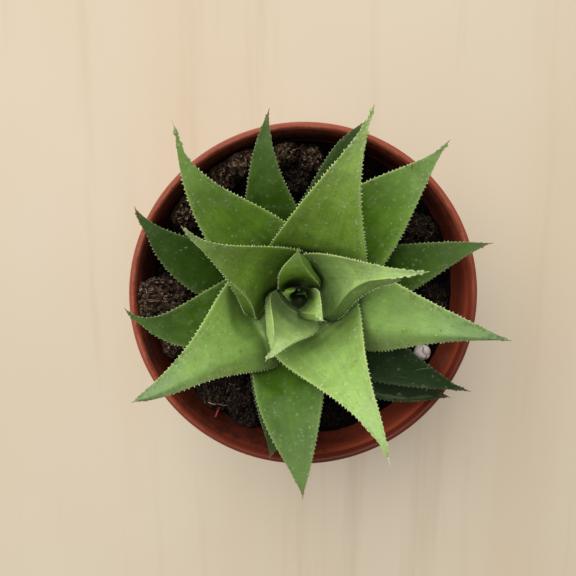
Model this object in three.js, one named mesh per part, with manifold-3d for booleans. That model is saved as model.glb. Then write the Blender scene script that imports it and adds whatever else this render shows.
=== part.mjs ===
// A small succulent rosette with toothed, pointed leaves, growing in a round plastic nursery pot.
// Millimetres, +Z up. The origin is the middle of the flat face that the pot stands on.
import * as THREE from 'three';
import { mergeVertices } from 'three/addons/utils/BufferGeometryUtils.js';
import Module from 'manifold-3d';

const wasm = await Module();
wasm.setup();

// Driving dimensions of the pot
const RIM_RADIUS = 45;
const POT_HEIGHT = 75;
const LIP_WIDTH = 1.9;
const LIP_HEIGHT = 2.6;
const COLLAR_DEPTH = 13;
const WALL = 1.2;
const BODY_TOP_RADIUS = 40.9;
const BODY_FOOT_RADIUS = 31;
const FLOOR_THICKNESS = 1.6;
const FOOT_RISE = 1.6;
const HUB_RADIUS = 12;
const RING_RADIUS = 24;
const DRAIN_HOLES = 6;
const DRAIN_RADIUS = 3;
const DRAIN_CIRCLE = 18;

// Driving dimensions of the soil and of what lies on it
const GAP = 0.3;
const SOIL_LEVEL = 61.8;
const SOIL_HOLLOW = 1.6;
const SOIL_BANK = 1.3;
const GRAIN_PLACE = [34, -17];
const GRAIN_RADIUS = 2.1;

// Driving dimensions of the stem, which leans on nothing and stands a little off the pot's centre
const STEM_PLACE = [-1, 2.3];
const STEM_RADIUS = 3.2;
const STEM_TOP = 84;
const STEM_NECK = 61;
const ROOT_TIP = 49;

// Driving dimensions that all leaves share
const LOWEST_FOOT = 64.2;
const FOOT_STEP = 0.9;
const FOOT_INSET = 2;
const RELATIVE_THICKNESS = 0.19;
const TOOTH_HEIGHT = 0.45;
const TOOTH_BASE = 0.7;
const TOOTH_SPACING = 2.9;

// Two outlines of a leaf: how slender the tip is, how full the sides are, where it is widest
const SPEAR = { tip: 1.3, side: 0.35, widest: 0.9, neck: 0.2 };
const BLADE = { tip: 1.5, side: 1.5, widest: 0.78, neck: 0.35 };

// The leaves from the youngest to the oldest. tip is a place in millimetres and width the blade's
// full width. rise and level are the slopes at the stem and at the tip; swing and hook turn those
// two ends sideways, to the left where positive. roll lifts the left margin, and keel moves the
// ridge of the underside from the middle (0) towards the right margin (1) or the left one (-1).
const LEAVES = [
  { tip: [0, 5, 90], width: 5, rise: 80, level: 60, outline: BLADE },
  { tip: [-5, 5.5, 92], width: 7, rise: 75, level: 50, outline: BLADE },
  { tip: [4, 0, 95], width: 8.5, rise: 75, level: 40, outline: BLADE },
  { tip: [-1.5, 16, 97], width: 11.5, rise: 60, level: 40, hook: -5, outline: SPEAR },
  { tip: [-8.5, -7, 103], width: 14.5, rise: 65, level: 50, swing: 4, roll: -18, keel: 0.3,
    outline: SPEAR },
  { tip: [24, 12.5, 107], width: 19, rise: 50, level: 25, swing: 8, hook: -7, outline: SPEAR },
  { tip: [-24, 21, 107], width: 21.5, rise: 50, level: 20, swing: -10, hook: -20, outline: SPEAR },
  { tip: [17.5, -27.5, 105], width: 24.5, rise: 45, level: 15, hook: -3, outline: SPEAR },
  { tip: [12.5, 44.5, 107], width: 26, rise: 45, level: 10, outline: SPEAR },
  { tip: [-37.5, -17, 101], width: 25, rise: 40, level: 10, swing: -4, hook: -4, roll: 18, keel: -0.4,
    outline: SPEAR },
  { tip: [44, -3.5, 101], width: 20.5, rise: 38, level: 10, outline: BLADE },
  { tip: [-26.5, 40, 101], width: 17.5, rise: 38, level: 20, swing: 6, hook: -22, outline: BLADE },
  { tip: [0, -43.5, 95], width: 18, rise: 35, level: 10, swing: -20, hook: 4, outline: BLADE },
  { tip: [30.5, 39, 95], width: 21, rise: 35, level: 10, outline: BLADE },
  { tip: [-41.5, 2, 90], width: 17, rise: 30, level: 15, swing: 10, hook: -65, outline: BLADE },
  { tip: [41, -21, 85], width: 16, rise: 28, level: 5, swing: -21, hook: 10, outline: BLADE },
  { tip: [-8, 46, 87], width: 16, rise: 26, level: 5, swing: 11, hook: -24, outline: BLADE },
  { tip: [-8.5, -41.5, 78], width: 15, rise: 22, level: 0, swing: -12, hook: 5, outline: BLADE },
  { tip: [44, 16, 86], width: 17, rise: 24, level: 10, swing: -5, hook: -6, outline: BLADE },
  { tip: [-39, 25, 87], width: 15.5, rise: 22, level: 10, swing: 8, hook: -50, outline: BLADE },
  { tip: [37, -25, 79], width: 19, rise: 20, level: 0, swing: -14, hook: 8, outline: BLADE },
  { tip: [14.5, 44, 82], width: 16, rise: 22, level: 0, swing: 6, outline: BLADE },
];

// Clods of peat that stand out of the soil: centre x and y, radius, height above the level
const CLODS = [
  [-36.2, 1.6, 5.4, 9.5],
  [-31, 2.4, 5.2, 8.6],
  [-31, 23, 5.6, 5],
  [-17, 34, 6.5, 5.6],
  [-2, 36.5, 5, 4.4],
  [32, 17, 5, 3.4],
  [36, -2, 4.6, 3.2],
  [-18.5, -28.5, 5.5, 3.4],
  [9, -33, 5, 2.2],
];

const TURNS = 60;
const STEM_SIDES = 20;
const CLEANING_STEPS = [0.06, 0.04, 0.02, 0.01, 0.005];
const UP = new THREE.Vector3(0, 0, 1);

// The same random numbers each time
function seededRandom(seed) {
  let state = seed;
  return () => {
    state = (state * 1664525 + 1013904223) % 4294967296;
    return state / 4294967296;
  };
}

// A closed geometry as a solid, turned the right way out. Corners within a step become one.
function solidOf(geometry, step = 1e-4) {
  const bare = geometry.clone();
  bare.deleteAttribute('normal');
  bare.deleteAttribute('uv');
  const merged = mergeVertices(bare, step);
  const vertProperties = new Float32Array(merged.attributes.position.array);
  const index = merged.index.array;
  const kept = [];
  for (let i = 0; i < index.length; i += 3) {
    const [a, b, c] = index.slice(i, i + 3);
    if (a !== b && b !== c && c !== a) {
      kept.push(a, b, c);
    }
  }
  const triVerts = new Uint32Array(kept);
  const solid = new wasm.Manifold(new wasm.Mesh({ numProp: 3, vertProperties, triVerts }));
  if (solid.volume() > 0) {
    return solid;
  }
  triVerts.reverse();
  return new wasm.Manifold(new wasm.Mesh({ numProp: 3, vertProperties, triVerts }));
}

// A solid as a geometry, ready for a mesh
function geometryOf(solid) {
  const mesh = solid.getMesh();
  const geometry = new THREE.BufferGeometry();
  geometry.setAttribute('position', new THREE.BufferAttribute(mesh.vertProperties, 3));
  geometry.setIndex(new THREE.BufferAttribute(mesh.triVerts, 1));
  geometry.computeVertexNormals();
  return geometry;
}

// The largest body of a solid, where a cut has left scraps beside it
function largestBody(solid) {
  const bodies = solid.decompose();
  return bodies.reduce((best, body) => (body.volume() > best.volume() ? body : best));
}

// The main body of a cut solid without slivers, by the widest step that keeps it closed
function cleaned(solid) {
  const body = largestBody(solid);
  for (const step of CLEANING_STEPS) {
    try {
      return largestBody(solidOf(geometryOf(body), step));
    } catch (error) {
      if (error.code !== 'NotManifold') {
        throw error;
      }
    }
  }
  return body;
}

// A solid turned round Z from an outline of [radius, height] corners that starts and ends on Z
function turned(outline, sides) {
  const points = outline.map(([radius, height]) => new THREE.Vector2(radius, height));
  return new THREE.LatheGeometry(points, sides).rotateX(Math.PI / 2);
}

// Radius of the pot's outside below the collar, at a height
function bodyRadius(height) {
  const share = height / (POT_HEIGHT - COLLAR_DEPTH);
  return BODY_FOOT_RADIUS + (BODY_TOP_RADIUS - BODY_FOOT_RADIUS) * share;
}

const COLLAR_FOOT = POT_HEIGHT - COLLAR_DEPTH;
const LEDGE = COLLAR_FOOT + 0.2;
const LIP_INSIDE = RIM_RADIUS - LIP_WIDTH;
const COLLAR_OUTSIDE = RIM_RADIUS - 1.4;
const COLLAR_INSIDE = COLLAR_OUTSIDE - 0.6 - WALL;

// The pot: tapered body, collar with a ledge inside at its foot, thick lip, raised foot ring
function makePot() {
  const floorTop = FOOT_RISE + FLOOR_THICKNESS;
  const shell = solidOf(turned([
    [0, 0],
    [HUB_RADIUS, 0],
    [HUB_RADIUS + 0.6, FOOT_RISE],
    [RING_RADIUS, FOOT_RISE],
    [RING_RADIUS + 0.6, 0],
    [BODY_FOOT_RADIUS - 0.8, 0],
    [bodyRadius(1), 1],
    [bodyRadius(COLLAR_FOOT - 1.6), COLLAR_FOOT - 1.6],
    [COLLAR_OUTSIDE - 0.6, COLLAR_FOOT],
    [COLLAR_OUTSIDE, POT_HEIGHT - LIP_HEIGHT],
    [RIM_RADIUS - 0.3, POT_HEIGHT - LIP_HEIGHT],
    [RIM_RADIUS, POT_HEIGHT - LIP_HEIGHT + 0.4],
    [RIM_RADIUS, POT_HEIGHT - 0.6],
    [RIM_RADIUS - 0.6, POT_HEIGHT],
    [LIP_INSIDE + 0.2, POT_HEIGHT],
    [LIP_INSIDE - 0.8, POT_HEIGHT - 0.8],
    [COLLAR_INSIDE, LEDGE],
    [bodyRadius(COLLAR_FOOT - 1) - WALL, LEDGE],
    [bodyRadius(floorTop) - WALL, floorTop],
    [0, floorTop],
  ], TURNS));
  let pot = shell;
  for (let i = 0; i < DRAIN_HOLES; i += 1) {
    const angle = (2 * Math.PI * (i + 0.5)) / DRAIN_HOLES;
    const hole = new THREE.CylinderGeometry(DRAIN_RADIUS, DRAIN_RADIUS, 4 * floorTop, 24)
      .rotateX(Math.PI / 2)
      .translate(DRAIN_CIRCLE * Math.cos(angle), DRAIN_CIRCLE * Math.sin(angle), 0);
    pot = pot.subtract(solidOf(hole));
  }
  return pot;
}

// The short stem with its root stock, grown all round by an amount
function makeStem(grow) {
  const outline = [
    [0, ROOT_TIP - grow],
    [0.8 + grow, ROOT_TIP - grow],
    [STEM_RADIUS + grow, STEM_NECK - 5],
    [STEM_RADIUS + 0.5 + grow, STEM_NECK],
    [STEM_RADIUS + grow, STEM_NECK + 3],
    [STEM_RADIUS + grow, STEM_TOP - 6],
    [STEM_RADIUS * 0.55 + grow, STEM_TOP - 2],
    [0.5 + grow, STEM_TOP + grow],
    [0, STEM_TOP + grow],
  ];
  return solidOf(turned(outline, STEM_SIDES).translate(STEM_PLACE[0], STEM_PLACE[1], 0));
}

// A level direction at an angle in radians
function levelDirection(angle) {
  return new THREE.Vector3(Math.cos(angle), Math.sin(angle), 0);
}

// The curve that a leaf's upper face follows from the stem to the tip
function leafCurve(leaf, foot) {
  const tip = new THREE.Vector3(...leaf.tip);
  const axis = new THREE.Vector3(STEM_PLACE[0], STEM_PLACE[1], 0);
  const heading = Math.atan2(tip.y - axis.y, tip.x - axis.x);
  const startWay = levelDirection(heading + THREE.MathUtils.degToRad(leaf.swing ?? 0));
  const endWay = levelDirection(heading + THREE.MathUtils.degToRad(leaf.hook ?? 0));
  const rise = THREE.MathUtils.degToRad(leaf.rise);
  const level = THREE.MathUtils.degToRad(leaf.level);
  const inset = Math.min(FOOT_INSET, leaf.width / 8);
  const start = axis.clone().addScaledVector(startWay, inset).setZ(foot);
  const length = start.distanceTo(tip);
  const startPull = startWay.multiplyScalar(Math.cos(rise)).addScaledVector(UP, Math.sin(rise));
  const endPull = endWay.multiplyScalar(Math.cos(level)).addScaledVector(UP, Math.sin(level));
  return new THREE.CubicBezierCurve3(
    start,
    start.clone().addScaledVector(startPull, 0.42 * length),
    tip.clone().addScaledVector(endPull, -0.33 * length),
    tip,
  );
}

// Half the blade's width at a distance from the tip, as a share of the leaf's length
function halfWidth(leaf, fromTip) {
  const { tip, side, widest, neck } = leaf.outline;
  const share = Math.min(fromTip / widest, 1);
  const necking = 1 - neck * Math.max(0, (fromTip - 0.75) / 0.25) ** 2;
  return 0.5 * leaf.width * share ** tip * (1 + side * (1 - share)) * necking;
}

// One cross section: its corners over the upper face from the left margin to the right one and
// back along the keeled underside. Grown by an amount, its margins are blunt and clear the teeth.
function leafSection(leaf, curve, along, cupping, grow) {
  const fromTip = 1 - along;
  const forward = curve.getTangent(along);
  const right = forward.clone().cross(UP).normalize();
  const above = right.clone().cross(forward);
  const rolling = Math.sin((Math.PI / 2) * Math.min(along / 0.9, 1) ** 1.2);
  const roll = THREE.MathUtils.degToRad(leaf.roll ?? 0) * rolling;
  const across = right.clone().multiplyScalar(Math.cos(roll)).addScaledVector(above, -Math.sin(roll));
  const normal = above.multiplyScalar(Math.cos(roll)).addScaledVector(right, Math.sin(roll));
  const half = halfWidth(leaf, fromTip);
  const cup = cupping * (0.25 + 0.75 * fromTip ** 1.5) * half;
  const thinning = 1 - 0.35 * Math.max(0, (fromTip - 0.5) / 0.5);
  const thickness = RELATIVE_THICKNESS * leaf.width * Math.min(fromTip / 0.45, 1) ** 0.75 * thinning;
  const keel = leaf.keel ?? 0;
  const toothRoom = grow > 0 ? TOOTH_HEIGHT : 0;
  const place = curve.getPoint(along).addScaledVector(forward, along > 0 ? 0 : -grow);
  const corner = (u, under) => {
    const depth = u < keel ? (keel - u) / (1 + keel) : (u - keel) / (1 - keel);
    const drop = under ? thickness * (1 - depth ** 1.5) + grow : -grow;
    const reach = half * u + (grow + toothRoom) * Math.trunc(u);
    return place.clone()
      .addScaledVector(across, reach)
      .addScaledVector(normal, -cup * (1 - (reach / half) ** 2) - drop);
  };
  const over = [-1, -0.5, 0, 0.5, 1].map((u) => corner(u, false));
  const under = [(1 + keel) / 2, keel, (keel - 1) / 2].map((u) => corner(u, true));
  return grow > 0 ? [...over, corner(1, true), ...under, corner(-1, true)] : [...over, ...under];
}

// A leaf as a closed solid with teeth along both margins. Grown by an amount, and then without
// teeth, it is the room that the leaf needs.
function makeLeaf(leaf, rank, grow) {
  const foot = LOWEST_FOOT + FOOT_STEP * (LEAVES.length - 1 - rank);
  const curve = leafCurve(leaf, foot);
  const cupping = 0.5 - 0.017 * (rank + 1);
  const steps = Math.max(4, Math.round(curve.getLength() / TOOTH_SPACING));
  const corners = [];
  const faces = [];
  const rings = [];
  const add = (point) => corners.push(point) - 1;
  const face = (...indices) => faces.push(...indices);
  for (let i = 0; i < steps; i += 1) {
    rings.push(leafSection(leaf, curve, i / steps, cupping, grow).map(add));
  }
  const tip = add(curve.getPoint(1).addScaledVector(curve.getTangent(1), grow * 2));

  // A strip of the skin between two rings, from corner a to corner b of each
  const strip = (ring, next, a, b) => {
    face(ring[a], ring[b], next[a]);
    face(ring[b], next[b], next[a]);
  };
  // The strips on both sides of a margin, with one tooth whose root runs in under the blade
  const toothed = (ring, next, margin, opposite, over, under) => {
    const skin = margin === 0 ? face : (a, b, c) => face(a, c, b);
    const from = corners[ring[margin]];
    const to = corners[next[margin]];
    const outward = from.clone().sub(corners[ring[opposite]]).normalize();
    const halfBase = Math.min((0.5 * TOOTH_BASE) / from.distanceTo(to), 0.3);
    const inside = corners[ring[under]].clone().lerp(corners[next[under]], 0.5);
    const heel = add(from.clone().lerp(to, 0.5 - halfBase));
    const toe = add(from.clone().lerp(to, 0.5 + halfBase));
    const root = add(from.clone().lerp(to, 0.5).lerp(inside, 0.3));
    const peak = add(from.clone().lerp(to, 0.5 + halfBase / 2).addScaledVector(outward, TOOTH_HEIGHT));
    skin(heel, toe, peak);
    skin(ring[over], heel, ring[margin]);
    skin(ring[over], toe, heel);
    skin(ring[over], next[over], toe);
    skin(next[over], next[margin], toe);
    skin(ring[under], ring[margin], heel);
    skin(ring[under], heel, root);
    skin(ring[under], root, next[under]);
    skin(next[under], root, toe);
    skin(next[under], toe, next[margin]);
    skin(heel, peak, root);
    skin(toe, root, peak);
  };
  for (let i = 0; i + 1 < steps; i += 1) {
    const ring = rings[i];
    const next = rings[i + 1];
    if (grow > 0 || i === 0) {
      ring.forEach((_, j) => strip(ring, next, j, (j + 1) % ring.length));
    } else {
      [[1, 2], [2, 3], [5, 6], [6, 7]].forEach(([a, b]) => strip(ring, next, a, b));
      toothed(ring, next, 0, 4, 1, 7);
      toothed(ring, next, 4, 0, 3, 5);
    }
  }
  const last = rings[steps - 1];
  const first = rings[0];
  last.forEach((corner, j) => face(corner, last[(j + 1) % last.length], tip));
  // The corner of the underside that faces a corner of the upper face at the foot
  const below = (j) => first[grow > 0 ? 9 - j : (8 - j) % 8];
  for (let j = 0; j < 4; j += 1) {
    face(first[j], below(j + 1), first[j + 1]);
    face(first[j], below(j), below(j + 1));
  }
  return solidOf(new THREE.BufferGeometry().setFromPoints(corners).setIndex(faces));
}

// Height of the soil's surface at a place: hollow round the stem, banked up at the pot's wall,
// with low waves and clods
function soilHeight(x, y, lumps) {
  const fromStem = Math.hypot(x - STEM_PLACE[0], y - STEM_PLACE[1]);
  const hollow = SOIL_HOLLOW * Math.exp(-((fromStem / 16) ** 2));
  const bank = SOIL_BANK * THREE.MathUtils.smoothstep(Math.hypot(x, y), 32, 41);
  const wave = 0.35 * Math.sin(0.55 * x + 1.3) * Math.cos(0.47 * y) + 0.25 * Math.sin(0.9 * y - 0.6 * x);
  const raised = lumps.map(([cx, cy, radius, height]) => {
    const near = Math.max(0, 1 - (Math.hypot(x - cx, y - cy) / radius) ** 2);
    return height * near ** 0.6;
  });
  return SOIL_LEVEL - hollow + bank + wave + Math.max(0, ...raised);
}

// The soil: it fills the pot below its lumpy surface and lies on the ledge inside the collar
function makeSoil() {
  const random = seededRandom(7);
  const lumps = [...CLODS];
  for (let i = 0; i < 46; i += 1) {
    const angle = 2 * Math.PI * random();
    const reach = 39 * Math.sqrt(random());
    const place = [reach * Math.cos(angle), reach * Math.sin(angle)];
    lumps.push([...place, 2.6 + 1.6 * random(), 0.7 + 1.3 * random()]);
  }
  const bottom = FOOT_RISE + FLOOR_THICKNESS + GAP;
  const insideWall = (height) => bodyRadius(height) - WALL - GAP - 0.2;
  const outerRadius = COLLAR_INSIDE - GAP - 0.1;
  const shelf = LEDGE + GAP;
  const corners = [];
  const faces = [];
  const add = (x, y, z) => corners.push(new THREE.Vector3(x, y, z)) - 1;
  const ringOf = (radius, heightAt) => Array.from({ length: TURNS }, (_, i) => {
    const angle = (2 * Math.PI * i) / TURNS;
    const x = radius * Math.cos(angle);
    const y = radius * Math.sin(angle);
    return add(x, y, heightAt(x, y));
  });
  const join = (outer, inner) => {
    for (let i = 0; i < TURNS; i += 1) {
      const next = (i + 1) % TURNS;
      faces.push(outer[i], outer[next], inner[i]);
      faces.push(outer[next], inner[next], inner[i]);
    }
  };
  const topRings = 15;
  const rings = [
    ringOf(insideWall(bottom), () => bottom),
    ringOf(insideWall(COLLAR_FOOT - 1.6), () => COLLAR_FOOT - 1.6),
    ringOf(insideWall(COLLAR_FOOT - 1.6), () => shelf),
    ringOf(outerRadius, () => shelf),
  ];
  for (let k = 0; k < topRings; k += 1) {
    const radius = outerRadius * (1 - (k / topRings) ** 1.15);
    const edge = k === 0 ? shelf + 0.5 : 0;
    rings.push(ringOf(radius, (x, y) => Math.max(soilHeight(x, y, lumps), edge)));
  }
  for (let k = 0; k + 1 < rings.length; k += 1) {
    join(rings[k], rings[k + 1]);
  }
  const middleTop = add(0, 0, soilHeight(0, 0, lumps));
  const middleBottom = add(0, 0, bottom);
  const inner = rings[rings.length - 1];
  for (let i = 0; i < TURNS; i += 1) {
    const next = (i + 1) % TURNS;
    faces.push(inner[i], inner[next], middleTop);
    faces.push(rings[0][next], rings[0][i], middleBottom);
  }
  return solidOf(new THREE.BufferGeometry().setFromPoints(corners).setIndex(faces));
}

// The pale grain of perlite that lies on the soil, grown all round by an amount
function makeGrain(grow) {
  const [x, y] = GRAIN_PLACE;
  const random = seededRandom(21);
  const ball = new THREE.IcosahedronGeometry(1, 1).deleteAttribute('normal').deleteAttribute('uv');
  const geometry = mergeVertices(ball);
  const position = geometry.attributes.position;
  for (let i = 0; i < position.count; i += 1) {
    const radius = GRAIN_RADIUS * (0.85 + 0.25 * random()) + grow;
    const [px, py, pz] = [position.getX(i), position.getY(i), position.getZ(i)];
    position.setXYZ(i, radius * px, radius * py, 0.8 * radius * pz);
  }
  return solidOf(geometry.translate(x, y, SOIL_LEVEL + 1.5));
}

// Young leaves are lime green, old ones dark
function leafColour(rank) {
  const age = rank / (LEAVES.length - 1);
  return new THREE.Color(0x86a957).lerp(new THREE.Color(0x35522c), age ** 0.8);
}

const group = new THREE.Group();

// Adds a solid to the group as a named node with a finish of its own
function place(name, solid, color, roughness) {
  const material = new THREE.MeshStandardMaterial({ color, roughness, metalness: 0 });
  const mesh = new THREE.Mesh(geometryOf(solid), material);
  mesh.name = name;
  group.add(mesh);
}

// Each leaf gives way to the stem and to the younger leaves inside it; the soil gives way to all
const stemRoom = makeStem(GAP);
let taken = stemRoom;
let soil = makeSoil().subtract(stemRoom).subtract(makeGrain(GAP));
place('pot', makePot(), 0xa8503c, 0.42);
place('stem', makeStem(0), 0x6b7a45, 0.7);
place('perlite_grain', makeGrain(0), 0xd9cfc8, 0.9);
LEAVES.forEach((leaf, rank) => {
  const name = `leaf_${String(rank + 1).padStart(2, '0')}`;
  const whole = makeLeaf(leaf, rank, 0);
  const room = makeLeaf(leaf, rank, GAP);
  place(name, cleaned(whole.subtract(taken)), leafColour(rank), 0.45);
  taken = taken.add(room);
  soil = soil.subtract(room);
});
place('soil', cleaned(soil), 0x2b211c, 0.95);

export default group;
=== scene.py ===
"""The looks of a small toothed rosette succulent in a terracotta-red nursery pot.

Shapes are worked out in millimetres, +Z up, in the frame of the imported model, and become
metres where a mesh is made.
"""

import math
import random

import bpy
import numpy as np
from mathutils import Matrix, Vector


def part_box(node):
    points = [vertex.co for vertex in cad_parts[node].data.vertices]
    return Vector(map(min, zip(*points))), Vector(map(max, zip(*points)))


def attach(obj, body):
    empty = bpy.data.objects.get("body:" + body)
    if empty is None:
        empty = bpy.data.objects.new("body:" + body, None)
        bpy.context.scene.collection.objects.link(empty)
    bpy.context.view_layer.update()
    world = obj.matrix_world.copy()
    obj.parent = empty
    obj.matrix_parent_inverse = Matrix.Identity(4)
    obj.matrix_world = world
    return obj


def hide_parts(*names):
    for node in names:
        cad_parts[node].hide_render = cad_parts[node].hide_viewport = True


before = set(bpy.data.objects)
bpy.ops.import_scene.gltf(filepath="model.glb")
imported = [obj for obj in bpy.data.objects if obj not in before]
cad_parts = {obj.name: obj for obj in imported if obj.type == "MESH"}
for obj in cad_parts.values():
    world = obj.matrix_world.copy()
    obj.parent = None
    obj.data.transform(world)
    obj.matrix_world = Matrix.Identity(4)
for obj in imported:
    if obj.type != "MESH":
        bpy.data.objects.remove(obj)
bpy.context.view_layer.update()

MM = 0.001
UP = np.array([0, 0, 1.0])


def box_mm(node):
    """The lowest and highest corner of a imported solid, in millimetres."""
    low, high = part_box(node)
    return np.array(low) / MM, np.array(high) / MM


# Sizes of the pot, the soil and the stem, from the frame where it shows them
POT_LOW, POT_HIGH = box_mm("pot")
RIM_RADIUS = round((POT_HIGH[0] - POT_LOW[0]) / 2, 2)
POT_HEIGHT = round(POT_HIGH[2], 2)
LIP_WIDTH = 1.9
LIP_HEIGHT = 2.6
COLLAR_DEPTH = 13
WALL = 1.2
BODY_TOP_RADIUS = 40.9
BODY_FOOT_RADIUS = 31
FLOOR_THICKNESS = 1.6
FOOT_RISE = 1.6
HUB_RADIUS = 12
RING_RADIUS = 24
DRAIN_HOLES = 6
DRAIN_RADIUS = 3
DRAIN_CIRCLE = 18
GAP = 0.3
SOIL_LEVEL = 61.8
SOIL_HOLLOW = 1.6
SOIL_BANK = 1.3
GRAIN_LOW, GRAIN_HIGH = box_mm("perlite_grain")
GRAIN_PLACE = (GRAIN_LOW + GRAIN_HIGH) / 2
GRAIN_RADIUS = (GRAIN_HIGH[0] - GRAIN_LOW[0]) / 2
STEM_LOW, STEM_HIGH = box_mm("stem")
STEM_PLACE = ((STEM_LOW + STEM_HIGH) / 2)[:2].round(2)
STEM_TOP = round(STEM_HIGH[2], 2)
STEM_RADIUS = 3.2
STEM_NECK = 61
ROOT_TIP = round(STEM_LOW[2], 2)
LOWEST_FOOT = 64.2
FOOT_STEP = 0.9
FOOT_INSET = 2
RELATIVE_THICKNESS = 0.19

SPEAR = dict(tip=1.3, side=0.35, widest=0.9, neck=0.2)
BLADE = dict(tip=1.5, side=1.5, widest=0.78, neck=0.35)

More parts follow.
